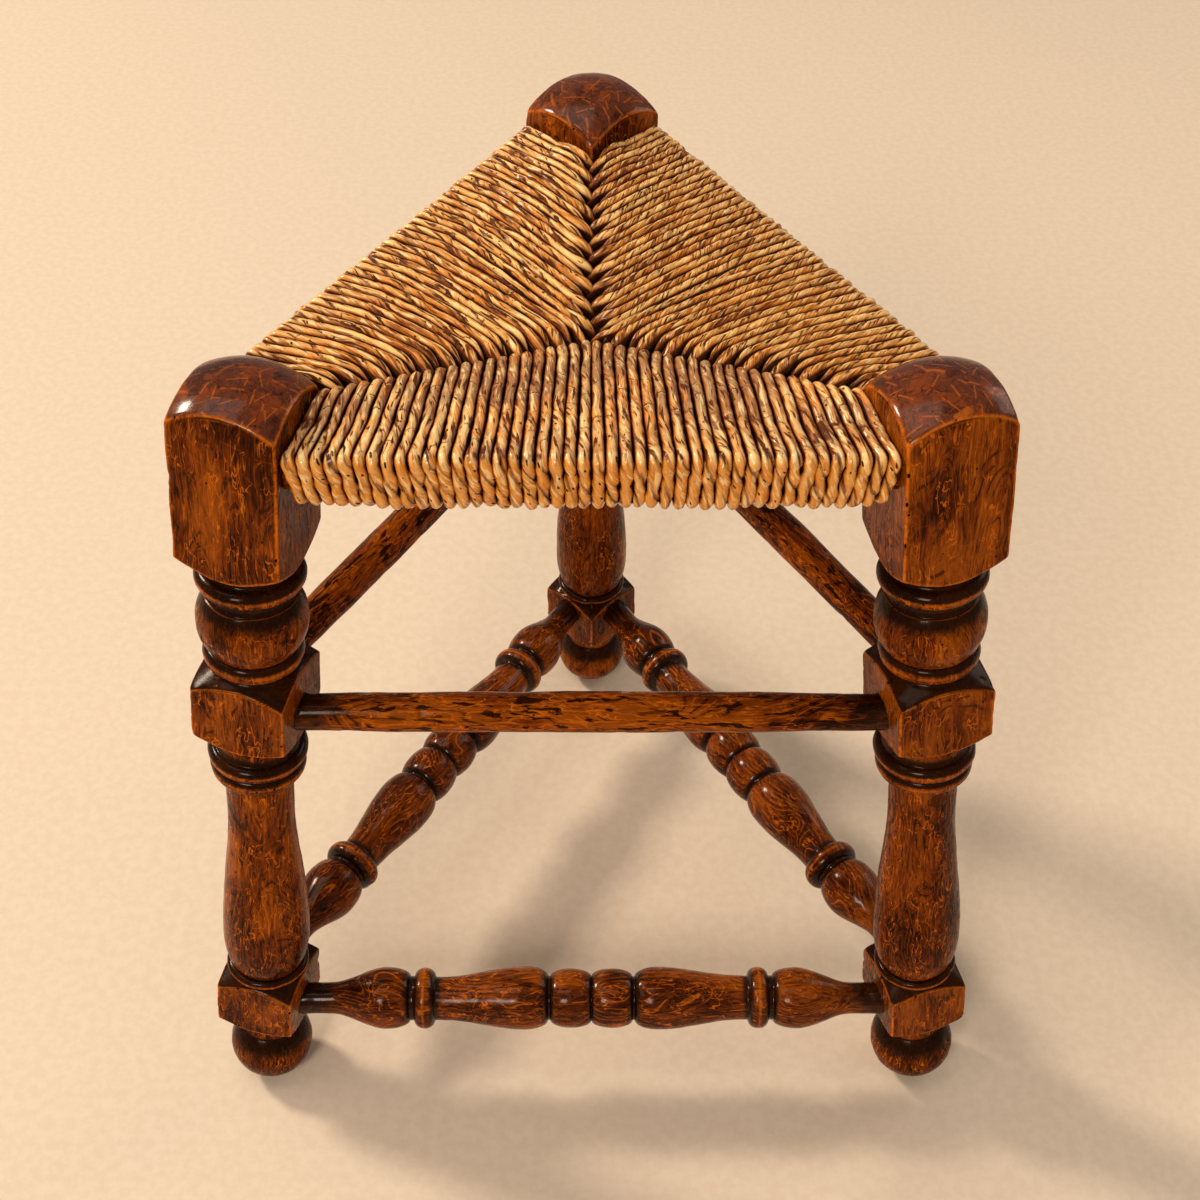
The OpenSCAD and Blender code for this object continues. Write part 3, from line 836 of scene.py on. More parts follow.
@dataclass(frozen=True)
class RushFinish:
    """Twisted rush cord, golden where it is rubbed and duller in patches."""

    name: str
    # dark is the straw's darkest tone and also the colour of the painted shade; crease is the colour of the
    # painted shade in the creases and between the cords, and of the dark marks.
    dark: Colour = srgb(116, 46, 3)
    body: Colour = srgb(213, 127, 36)
    pale: Colour = srgb(255, 206, 126)
    rubbed: Colour = srgb(225, 140, 24)
    dull: Colour = srgb(150, 99, 64)
    crease: Colour = srgb(46, 15, 1)
    # glint is the pale colour of the painted highlights.
    glint: Colour = srgb(255, 228, 164)
    sheen: Colour = (1.0, 0.62, 0.3)
    dullness: float = 0.0
    leaf_contrast: float = 0.38
    lip_highlight: float = 0.6
    streaks: float = 1.5
    shine: float = 0.35
    coat_roughness: float = 0.16
    relief: float = 1.0
    relief_depth: float = 0.0009

    def material(self, groups: Groups) -> Material:
        """Makes the material.

        The cord's own place runs along it in U and round it, with the twist, in V: each whole
        number of V is one leaf. Leaves differ in tone, fibres streak them, and the front is rubbed
        golden. Pale strips beside the creases and rings are painted highlights, and pale painted
        glints, standing in for highlights, lie along the lighter crown and on the fold. The creases,
        the flanks between two cords and the cords' ends by the seams are darkened as painted shade,
        and the rings, pits and cracks are dark marks.

        Args:
            groups: The shared node groups.

        Returns:
            The material.
        """
        w = Paint(self.name)
        own = w.outs(w.add("SeparateXYZ", {0: w.out("UVMap", uv_map="cord")}))
        tone, flank, polish, strength = (w.mark(name) for name in ("tone", "flank", "polish", "crease"))
        leaf_place = w.out("CombineXYZ", {"X": w.math("FLOOR", own["Y"]), "Y": tone * 91.0})
        leaf_tone = w.out("TexWhiteNoise", {"Vector": leaf_place}, noise_dimensions="2D")
        place = w.out("CombineXYZ", {"X": own["X"] * 220.0, "Y": own["Y"] * 2.4, "Z": tone * 53.0})
        fibres = w.group(groups.fibres, {"Place": place})
        streak, blotch = fibres["Streak"] - 0.5, fibres["Blotch"]
        here = w.noise(place, 0.8, 1)
        flake = w.noise(w.scaled(place, 0.42, 1.9, 1), 1.0, 1)

        level = streak * self.streaks + tone * 0.32 + 0.39 + (leaf_tone - 0.5) * self.leaf_contrast
        # Painted highlight: the crown of each cord is made a little lighter, and its sides a little darker,
        # by the flank mark.
        level = level + blotch * 0.65 + flank.band(0.16, 0.0, -0.03, 0.1)
        straw = w.layers(self.dark, (level.band(0.56, 0.84), self.body), (level.band(0.84, 1.22), self.pale))
        across = w.math("FRACT", (blotch - 0.5) * 0.5 + own["Y"])
        edge = w.math("MINIMUM", across, 1.0 - across)
        crease = (edge.band(0.14, 0.04) * here.band(0.36, 0.5, 0.2) * strength).held()
        # Painted highlight: a pale strip beside each crease.
        leaf_lip_highlight = (abs(across - 0.17).band(0.1, 0.02) * strength).held()
        from_ring = streak * 4.0 + w.mark("ring")
        ringed = (1.0 - polish * 0.8).held() * here.band(0.42, 0.52, 0.2)
        ring = abs(from_ring).band(0.4, 0.12) * ringed
        # Painted highlight: a pale strip beside each joint ring, which the bump also raises.
        lip = abs(from_ring - 0.8).band(0.6, 0.1) * ringed
        pits = w.group(groups.pits, {
            "Place": place, "Spacing": 1.2, "Size": 0.2, "Share": polish * 0.3 + 0.2,
        })["Pit"]
        cracks = flake.band(0.39, 0.34) * polish.band(0.3, 0.9, 0.6, 0.15)
        # The shade below is painted shade in the creases and on the flanks between two cords, with the real
        # dark rings, pits and cracks.
        shade = w.most(crease * (1.0 - polish * 0.55) * 0.85, flank.band(0.26, 0.56) * 0.95,
                       ring * 0.6, pits * 0.85, cracks)
        if self.dullness:
            patch = w.noise(w.own_place(), 26) + blotch * 0.5
            aged = patch.band(0.66, 0.84) * (1.0 - polish).held()
            straw = w.layers(straw, (aged * self.dullness, self.dull))
            near_fold = polish.band(0.03, 0.25) * polish.band(0.95, 0.5)
            shade = w.most(shade, patch.band(0.87, 0.95) * near_fold * 0.6)
        # Painted highlights: pale glints along the crown and on the rubbed front, and a pale band on the
        # fold, stand in for the shine of the straw.
        glint = (polish * 0.02 + flake).band(0.58, 0.64) * flank.band(0.24, 0.08)
        fold = polish.band(0.12, 0.5) * polish.band(1.0, 0.62)
        fold = fold * flake.band(0.4, 0.56) * flank.band(0.24, 0.06)
        # Painted shade darkens the flanks between cords and, with the dark marks, the shade below; the pale
        # strips and glints are painted highlights.
        straw = w.layers(
            straw,
            (w.most(lip, leaf_lip_highlight) * self.lip_highlight, self.pale),
            (polish * blotch.band(0.3, 0.52, 0.4, 0.85), self.rubbed),
            (flank.band(0.12, 0.4) * 0.7, self.dark),
            (w.most(glint * polish.band(0.4, 1.0, 0.74, 0.55), fold * 0.62), self.glint),
            ((shade * 1.7).held(), self.dark),
            (shade.band(0.2, 1.0), self.crease),
        )
        hump = 1.0 - w.math("POWER", 1.0 - edge * 2.0, 3.0)
        height = hump * strength * 1.1 + fibres["Streak"] * (0.8 - polish * 0.5) + blotch * polish * 1.3
        return w.finish({
            "Base Color": straw,
            "Roughness": 0.38 - polish * 0.14 + streak * (0.3 - polish * 0.2),
            "Specular IOR Level": self.shine,
            "Specular Tint": self.sheen,
            "Coat Weight": (polish * 0.75 + 0.25) * (1.0 - shade),
            "Coat Roughness": self.coat_roughness,
        }, {
            "Height": height - shade * 0.5 + lip * 0.4,
            "Strength": self.relief,
            "Distance": self.relief_depth,
        })


@dataclass(frozen=True)
class StrawFinish:
    """Loose dry rush pushed into the seat, in colours darkened as painted shade, since it shows only in the
    gaps between the cords.
    """

    name: str
    dark: Colour = srgb(58, 34, 16)
    pale: Colour = srgb(104, 68, 32)
    fineness: float = 160.0

    def material(self, groups: Groups) -> Material:
        """Makes the material: matt fibres along X that run from dark to pale."""
        w = Paint(self.name)
        place = w.scaled(w.own_place(), self.fineness, self.fineness, self.fineness)
        fibres = w.group(groups.fibres, {"Place": place})
        tone = fibres["Streak"] * 0.7 + fibres["Blotch"] * 0.3
        straw = w.layers(self.dark, (tone.band(0.35, 0.65), self.pale))
        return w.finish({"Base Color": straw, "Roughness": 0.85},
                        {"Height": fibres["Streak"], "Strength": 0.8, "Distance": 0.001})


@dataclass(frozen=True)
class FloorFinish:
    """Plain pale floor of the studio."""

    name: str = "studio_floor"
    low: Colour = srgb(222, 202, 178)
    high: Colour = srgb(227, 208, 185)

    def material(self) -> Material:
        """Makes the material: two near tones with a faint mottle."""
        w = Paint(self.name)
        mottle = w.noise(w.own_place(), 160, 3, 0.6)
        return w.finish({"Base Color": w.layers(self.low, (mottle.band(0.35, 0.65), self.high)),
                         "Roughness": 0.8})


# The stool's own layout


@dataclass(frozen=True)
class Stance:
    """How the legs stand: their spacing on the floor, their lean and the middle between them."""

    leg_spacing: float = 358.0
    splay: float = 5.8
    rail_out: float = 11.0

    @property
    def lean(self) -> float:
        """Tangent of the legs' lean."""
        return math.tan(math.radians(self.splay))

    @property
    def middle_y(self) -> float:
        """Place of the middle between the legs, worked out from the front rail."""
        low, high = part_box("front_rail")
        centre = (low + high) / 2 / MM
        return centre.y + self.leg_reach(centre.z) / 2 + self.rail_out

    def leg_reach(self, z: Array) -> Array:
        """Returns the distance of a leg's centre line from the middle at a height."""
        return self.leg_spacing / math.sqrt(3) - z * self.lean

    def spacing(self, z: Array) -> Array:
        """Returns the distance between two legs' centre lines at a height."""
        return self.leg_reach(z) * math.sqrt(3)

    def from_leg(self, points: Array, corner: Corner) -> Array:
        """Returns points of a leg, given with X outward and Z along it, in the stool's frame."""
        a = math.radians(self.splay)
        x, y, z = np.moveaxis(points, -1, 0)
        outward = x * math.cos(a) - z * math.sin(a) + self.leg_reach(0.0)
        leaning = joined(outward, y, x * math.sin(a) + z * math.cos(a))
        return turned(leaning, corner.value) + np.array([0, self.middle_y, 0])

    def from_side(self, points: Array, side: Side) -> Array:
        """Returns points of a side, given about the middle with -Y outward, in the stool's frame."""
        return turned(points, side.value) + np.array([0, self.middle_y, 0])


@dataclass(frozen=True)
class Bar:
    """A stretcher's axis, read from the frame: its middle, its way and half its whole length."""

    node: str
    side: Side
    radius: float

    @property
    def middle(self) -> Array:
        """Middle of the stretcher."""
        low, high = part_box(self.node)
        return np.array((low + high) / 2) / MM

    @property
    def way(self) -> Array:
        """Direction in which the stretcher runs."""
        return turned(np.array([1.0, 0, 0]), self.side.value)

    @property
    def half_length(self) -> float:
        """Half the stretcher's length with its tenons."""
        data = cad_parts[self.node].data
        points = np.empty(len(data.vertices) * 3, np.float32)
        data.vertices.foreach_get("co", points)
        along = points.reshape(-1, 3) @ self.way
        return float(np.ptp(along)) / 2 / MM

    def rim(self, points: Array) -> Array:
        """Returns how far the points lie from where this bar's surface enters a leg."""
        offset = points - self.middle
        along = offset @ self.way
        across = offset - along[..., None] * self.way
        rim = np.abs(np.linalg.norm(across, axis=-1) - self.radius)
        return rim + np.maximum(np.abs(along) - self.half_length, 0)


@dataclass(frozen=True)
class Stretch:
    """A stretch of a leg's outline: its points and their step, and what each row of it keeps.

    A row keeps the width of its square block, or 0, how softly the block's arris is rounded, the
    dirt and painted shade, mostly on faces that look up, and 1 on the dome.
    """

    points: Array
    step: float
    block: float = 0.0
    soften: float = 1.6
    dirt: float = 0.0
    dome: float = 0.0


@dataclass
class Leg:
    """A turned leg: ball foot, three square blocks with turned shoulders, vase, ball and rings."""

    name: str
    corner: Corner
    stance: Stance
    bars: list[Bar]
    seed: int
    top_block_w: float = 47.5
    top_block_h: float = 68.3
    dome_r: float = 47.0
    mid_block_w: float = 45.4
    mid_block_h: float = 27.0
    low_block_w: float = 41.4
    low_block_h: float = 26.0
    top_slope: float = 39.0
    mid_slope: float = 32.0
    low_slope: float = 30.0
    foot_d: float = 44.0
    foot_flat: float = 1.0
    foot_h: float = 47.0
    foot_neck_d: float = 30.0
    base_ring_h: float = 5.5
    base_ring_d: float = 42.4
    base_groove_depth: float = 3.0
    vase_h: float = 143.0
    vase_d: float = 44.4
    vase_belly_h: float = 25.0
    vase_base_d: float = 34.0
    vase_neck_d: float = 32.6
    vase_neck_h: float = 26.0
    twin_ring_h: float = 8.5
    twin_ring_low_d: float = 45.6
    twin_ring_high_d: float = 47.6
    low_cove_h: float = 8.5
    mid_cove_h: float = 3.0
    ball_ring_h: float = 9.0
    ball_ring_d: float = 45.8
    ball_d: float = 50.0
    ball_h: float = 28.5
    high_cove_h: float = 6.5
    top_ring_h: float = 9.0
    top_ring_d: float = 48.8
    top_groove_h: float = 3.0
    groove_d: float = 40.0
    cove_depth: float = 1.2
    columns: int = 128
    column_crowding: float = 0.72
    corner_power: float = 50.0
    past_corner: float = 2.0
    fine_step: float = 0.5
    block_step: float = 1.3
    ring_dirt_and_shade: float = 0.66
    dents: int = 90
    hollow_reach: float = 8.0
    joint_dirt_width: float = 1.5
    grain_apart: float = 700.0

    def block(self, width: float, start: float, first: float, height: float, last: float,
              slope: float) -> tuple[list[Stretch], float]:
        """Outlines a square block between two turned shoulders.

        The outline leaves the neck on a cone, runs outside the block's corners, where the square
        cuts it, and comes back on another cone.

        Args:
            width: Width of the block across its faces.
            start: Place where the lower cone leaves the neck.
            first: Radius of the neck below the block.
            height: Height of the block along its corners.
            last: Radius of the neck above the block.
            slope: Slope of both cones in degrees.

        Returns:
            The stretches and the place where the upper cone meets its neck.
        """
        rise = math.tan(math.radians(slope))
        corner = width / math.sqrt(2)
        reach = corner + self.past_corner
        low = start + (corner - first) * rise
        high = low + height
        end = high + (corner - last) * rise
        over = self.past_corner * rise
        return [
            Stretch(np.array([[first, start], [reach, low + over]]), self.fine_step, width, dirt=0.35),
            Stretch(np.array([[reach, low + over], [reach, high - over]]), self.block_step, width),
            Stretch(np.array([[reach, high - over], [last, end]]), self.fine_step, width, dirt=0.7),
        ], end

    def turnings(self, start: float, *turnings: tuple) -> tuple[list[Stretch], float]:
        """Outlines rings and coves one above the other, on the radius of the grooves.

        Args:
            start: Place where the first one starts.
            turnings: The shape of each, its height, its top radius or depth, its step and its dirt and
                painted shade.

        Returns:
            The stretches and the place where the last one ends.
        """
        parts = []
        for shape, height, size, step, dirt in turnings:
            parts.append(Stretch(shape(start, height, self.groove_d / 2, size), step, dirt=dirt))
            start += height
        return parts, start

    @property
    def foot_z(self) -> float:
        """Place of the foot's middle along the leg."""
        return (self.foot_d / 2 - self.foot_flat) / math.cos(math.radians(self.stance.splay))

    def outline(self) -> list[Stretch]:
        """Outlines the whole leg from the bottom of the foot to the top of the dome.

        Returns:
            The stretches, each of which starts where the one before it ends.
        """
        foot_r, neck, groove = self.foot_d / 2, self.foot_neck_d / 2, self.groove_d / 2
        a = np.linspace(-math.pi / 2, math.acos(neck / foot_r), 40)[1:]
        foot = [Stretch(joined(foot_r * np.cos(a), self.foot_z + foot_r * np.sin(a)), 0.9),
                Stretch(np.array([[neck, self.foot_h]]), 0.9, dirt=0.8)]
        base_r, fine, dirt = self.base_ring_d / 2, self.fine_step, self.ring_dirt_and_shade
        base_groove = base_r - self.base_groove_depth
        low_block, z = self.block(self.low_block_w, self.foot_h, neck, self.low_block_h, base_groove,
                                  self.low_slope)
        base = [Stretch(half_round(z, self.base_ring_h, base_groove, base_r), fine, dirt=dirt)]
        z += self.base_ring_h
        belly, neck_z = z + self.vase_belly_h, z + self.vase_h - self.vase_neck_h
        vase_r, vase_neck = self.vase_d / 2, self.vase_neck_d / 2
        vase = [Stretch(swell(z, belly, self.vase_base_d / 2, vase_r), 0.9),
                Stretch(ease(belly, neck_z, vase_r, vase_neck), 1.4)]
        z += self.vase_h
        vase.append(Stretch(np.array([[vase_neck, z]]), 1.2))
        twins, z = self.turnings(
            z,
            (half_round, self.twin_ring_h, self.twin_ring_low_d / 2, fine, dirt),
            (half_round, self.twin_ring_h, self.twin_ring_high_d / 2, fine, dirt),
            (cove, self.low_cove_h, self.cove_depth, 0.6, 0.4),
        )
        mid_block, z = self.block(self.mid_block_w, z, groove, self.mid_block_h, groove, self.mid_slope)
        under_ball, z = self.turnings(
            z,
            (cove, self.mid_cove_h, self.cove_depth, fine, 0.6),
            (half_round, self.ball_ring_h, self.ball_ring_d / 2, fine, dirt),
        )
        ball = [Stretch(ball_curve(z, self.ball_h, self.ball_d / 2), 0.7)]
        over_ball, z = self.turnings(
            z + self.ball_h,
            (cove, self.high_cove_h, self.cove_depth, fine, 0.4),
            (half_round, self.top_ring_h, self.top_ring_d / 2, fine, dirt),
            (cove, self.top_groove_h, self.cove_depth, fine, 0.6),
        )
        return (foot + low_block + base + vase + twins + mid_block + under_ball + ball + over_ball
                + self.top_block(z))

    def top_block(self, start: float) -> list[Stretch]:
        """Outlines the top block: a cone, a square side and the dome, a part of a sphere.

        Args:
            start: Place where the cone leaves the groove below it.

        Returns:
            The stretches up to the middle of the dome.
        """
        rise = math.tan(math.radians(self.top_slope))
        width, neck = self.top_block_w, self.groove_d / 2
        corner = width / math.sqrt(2)
        reach = corner + self.past_corner
        low = start + (corner - neck) * rise
        centre = low + self.top_block_h - math.sqrt(self.dome_r**2 - corner**2)
        a = np.linspace(math.acos(reach / self.dome_r), math.pi / 2, 50)
        dome = joined(self.dome_r * np.cos(a), centre + self.dome_r * np.sin(a))
        cone = np.array([[neck, start], [reach, low + self.past_corner * rise]])
        return [
            Stretch(cone, self.fine_step, width, dirt=0.3),
            Stretch(dome[:1], self.block_step, width),
            Stretch(dome, 0.62, width, soften=2.6, dome=1.0),
        ]

    def rows(self) -> dict[str, Array]:
        """Walks along the outline and returns each row's radius, place and stretch values."""
        kept = ("block", "soften", "dirt", "dome")
        table = {key: [] for key in ("radius", "place", *kept)}
        before = np.array([0.0, self.foot_z - self.foot_d / 2])
        for stretch in self.outline():
            walked = walk(np.vstack([before, stretch.points]), stretch.step)
            before = walked[-1]
            table["radius"].append(walked[:, 0])
            table["place"].append(walked[:, 1])
            for key in kept:
                table[key].append(np.full(len(walked), getattr(stretch, key)))
        return {key: np.concatenate(parts)[:-1] for key, parts in table.items()}

    def surface(self) -> tuple[Array, dict[str, Array]]:
        """Works out the leg's surface.

        Its radius is the smaller of the turned outline and a square with worn corners, which is
        (w / 2) / (|cos|^p + |sin|^p)^(1/p), rounded over where the two meet. Columns crowd at the
        square's corners. Slow ripples and dents make it uneven, and the floor cuts the foot flat.

        Returns:
            The rows and columns of points in the stool's frame, and the marks of the finish.
        """
        rng = np.random.default_rng(self.seed)
        radius, place, block, soften, row_dirt_and_shade, on_dome = (row[:, None] for row in self.rows().values())
        even = np.arange(self.columns) * 2 * math.pi / self.columns
        angle = even - self.column_crowding * np.sin(4 * even) / 4
        ring = joined(30 * np.cos(angle), 30 * np.sin(angle), place)
        power = self.corner_power * 2 ** (0.55 * Ripple(rng, 14, 60)(ring))
        cos, sin = np.abs(np.cos(angle - math.pi / 4)), np.abs(np.sin(angle - math.pi / 4))
        square = block / 2 / (cos**power + sin**power) ** (1 / power)
        uneven = Ripple(rng, 30, 80)(ring) * 0.14 + Ripple(rng, 7, 18)(ring) * 0.05
        square = square + uneven
        round_r = radius + uneven * np.minimum(radius / 20, 1)
        on_block = block > 0
        r = np.where(on_block, smooth_min(round_r, square, soften), round_r)
        beyond = round_r - square
        arris = np.where(on_block, np.exp(-(beyond**2)), 0) * (1 - 0.2 * on_dome)
        dome = on_dome * smooth_step(0.5, -0.3, beyond)
        flawless = joined(r * np.cos(angle), r * np.sin(angle), place)
        local, normals, bend, edges = worn_down(flawless, rng, self.dents, 0.22, 0.75)
        points = self.stance.from_leg(local, self.corner)
        points[..., 2] = np.maximum(points[..., 2], 0)
        up = normals[..., 2]
        # Dirt and painted shade: darker in the hollows, the grooves and the shoulders, most where they face
        # up, and at the joints with the stretchers.
        depth = hollow_depth(r.mean(axis=1), place[:, 0], self.hollow_reach)[:, None]
        dirt = smooth_step(0.4, 4.5, depth) * 0.8 * (1 - 0.7 * dome)
        dirt = dirt + row_dirt_and_shade * mix(0.1, 1.35, smooth_step(0.05, 0.55, up))
        dirt = dirt + smooth_step(0.05, 0.4, -bend) * 0.9
        for bar in self.bars:
            dirt = dirt + 0.9 * np.exp(-((bar.rim(points) / self.joint_dirt_width) ** 2))
        crest = crests(radius[:, 0], place[:, 0])[:, None] * ~on_block
        wear = np.clip(np.maximum(np.maximum(edges, 0.5 * crest), arris), 0, 1)
        # Dust and painted shade: the faces that look up, off the dome, are darker.
        dust_and_shade = smooth_step(0.08, 0.6, up) * (1 - dome)
        # Painted shade: the turned faces that look along the leg are darker.
        steep = 0.3 * smooth_step(0.3, 0.8, np.abs(up)) * ~on_block
        dirt = (dirt + dust_and_shade + steep) * (1 - 0.8 * wear)
        marks = {
            "grain": (local + np.array([0, 0, self.grain_apart * self.seed])) * MM,
            "wear": wear,
            "dirt": np.clip(dirt, 0, 1),
            "dome": dome,
        }
        return points, marks

    def build(self, finish: Material) -> Piece:
        """Makes the leg in place of its node and dresses it."""
        points, marks = self.surface()
        piece = make_piece(self.name + "_worn", points[None], {k: v[None] for k, v in marks.items()})
        dress(piece, self.name, finish)
        return piece


@dataclass
class Lathe:
    """A piece turned on its own axis and set between two legs."""

    bar: Bar
    seed: int
    slot: str
    columns: int = 64
    step: float = 0.7
    tenon_l: float = 13.0
    dents: int = 45
    hollow_reach: float = 7.0
    end_dark_l: float = 26.0
    grain_apart: float = 900.0

    def outline(self, half: float) -> Array:
        """Returns the outline from the middle to the end of the tenon."""
        raise NotImplementedError

    def surface(self) -> tuple[Array, dict[str, Array]]:
        """Works out the turned surface.

        The outline is walked from one end to the other and carried round the axis. Ripples and
        dents make it uneven. It is darker towards its ends, where they enter the legs, and dirt and
        painted shade darken its hollows, grooves, steep flanks and top.

        Returns:
            The rows and columns of points in the stool's frame, and the marks of the finish.
        """
        rng = np.random.default_rng(self.seed)
        half = self.bar.half_length - self.tenon_l
        right = self.outline(half)
        line = walk(np.vstack([right[::-1] * (1, -1), right[1:]]), self.step)
        angle = np.arange(self.columns) * 2 * math.pi / self.columns
        r, x = line[:, :1], line[:, 1:]
        smooth = joined(x, r * np.cos(angle), r * np.sin(angle))
        uneven = Ripple(rng, 30, 90)(smooth) * 0.13 + Ripple(rng, 8, 20)(smooth) * 0.05
        r = r + uneven * smooth_step(half, half - 6, np.abs(x))
        flawless = joined(x, r * np.cos(angle), r * np.sin(angle))
        local, normals, bend, edges = worn_down(flawless, rng, self.dents, 0.25, 0.7)
        # Dirt and painted shade in the hollows and grooves; the stretcher is also darker towards its ends.
        depth = hollow_depth(*line.T, self.hollow_reach)[:, None]
        dirt = smooth_step(0.2, 2.6, depth) + smooth_step(half - self.end_dark_l, half - 4, np.abs(x)) * 0.75
        dirt = dirt + smooth_step(0.04, 0.35, -bend) * 0.9
        # Painted shade on the flanks that face along the axis, and dust and painted shade on the top.
        steep = smooth_step(0.25, 0.8, np.abs(normals[..., 0])) * 0.75
        dust_and_shade = 0.25 * smooth_step(0.2, 0.9, normals[..., 2])
        wear = np.maximum(edges, 0.55 * crests(*line.T)[:, None])
        dirt = (dirt + steep + dust_and_shade) * (1 - 0.8 * wear)
        marks = {
            "grain": (local[..., [1, 2, 0]] + np.array([0, 0, self.grain_apart * self.seed])) * MM,
            "wear": wear,
            "dirt": np.clip(dirt, 0, 1),
            "dome": np.zeros(dirt.shape),
        }
        return turned(local, self.bar.side.value) + self.bar.middle, marks

    def build(self, finish: Material) -> Piece:
        """Makes the stretcher in place of its node and dresses it."""
        points, marks = self.surface()
        piece = make_piece(self.bar.node + "_worn", points[None], {k: v[None] for k, v in marks.items()})
        dress(piece, self.bar.node, finish)
        return piece


@dataclass
class PlainStretcher(Lathe):
    """A round stretcher, a little thicker in the middle."""

    middle_d: float = 19.0
    end_d: float = 17.0

    def outline(self, half: float) -> Array:
        """Returns the outline: the radius falls with the square of the place, then stays."""
        t = np.linspace(0, 1, 60)
        body = joined(mix(self.middle_d, self.end_d, t * t) / 2, t * half)
        return np.vstack([body, [[self.end_d / 2, half + self.tenon_l]]])


@dataclass
class TurnedStretcher(Lathe):
    """A turned stretcher: two beads in the middle, then a long swelling, a ring and a short one."""

    neck_d: float = 16.5
    neck_l: float = 14.0
    bead_d: float = 31.0
    bead_w: float = 22.0
    long_swell_d: float = 33.0
    long_swell_l: float = 58.0
    long_belly_share: float = 0.22
    collar_d: float = 32.0
    collar_w: float = 11.0
    short_swell_d: float = 32.0
    short_belly_share: float = 0.3
    fillet_d: float = 23.0
    fillet_w: float = 2.5

    def outline(self, half: float) -> Array:
        """Outlines one half, from the groove between the beads to the tenon.

        Args:
            half: Place where the stretcher enters the leg.

        Returns:
            The radius and place of each point.
        """
        fillet = self.fillet_d / 2
        long_z = self.bead_w + self.fillet_w / 2
        belly = long_z + self.long_swell_l * self.long_belly_share
        long_end = long_z + self.long_swell_l
        collar_z = long_end + self.fillet_w
        short_z = collar_z + self.collar_w + self.fillet_w
        neck_z = half - self.neck_l
        short_belly = mix(short_z, neck_z, self.short_belly_share)
        return np.vstack([
            half_round(0, self.bead_w, fillet, self.bead_d / 2),
            swell(long_z, belly, fillet, self.long_swell_d / 2),
            ease(belly, long_end, self.long_swell_d / 2, fillet),
            half_round(collar_z, self.collar_w, fillet, self.collar_d / 2),
            swell(short_z, short_belly, fillet, self.short_swell_d / 2),
            ease(short_belly, neck_z, self.short_swell_d / 2, self.neck_d / 2),
            [[self.neck_d / 2, half + self.tenon_l]],
        ])


@dataclass(frozen=True)
class Weave:
    """How the cords of one panel are twisted and how they come out of the seams.

    Attributes:
        turn: Share of the rail where the cords change from the left seam to the right one.
        hand: Way in which the leaves wind, 1 or -1.
        leaves: Number of leaves in a cord.
        lay: Length in which they wind once round it.
        fold_lay: The same on the rubbed front.
        crease_depth: Depth of the creases, as a share of the radius.
        top_crease: Strength of the creases on the seat's top.
        taper: Distance from the seam over which a cord rises to its height.
        overshoot: How far past its seam a cord starts.
        end_width: Width at the seam, as a share.
        lift: How far a cord lies above the seam there.
        hook: How far it bends there towards the meeting of the panels.
        ring_gap: Mean distance between the joint rings of a leaf.
        early: How much sooner every second cord stops on its way to the seam.
        point: Length of the point at its start.
        grow: How much wider one cord, and narrower the next, is near the seam.
        far: Side of the cords that keeps its creases, 1 or -1, or less than that in part.
    """

    turn: float
    hand: float
    leaves: int
    lay: float
    fold_lay: float
    crease_depth: float
    top_crease: float
    taper: float
    overshoot: float
    end_width: float
    lift: float
    hook: float
    ring_gap: float
    early: float = 0.0
    point: float = 3.0
    grow: float = 0.0
    far: float = 0.0


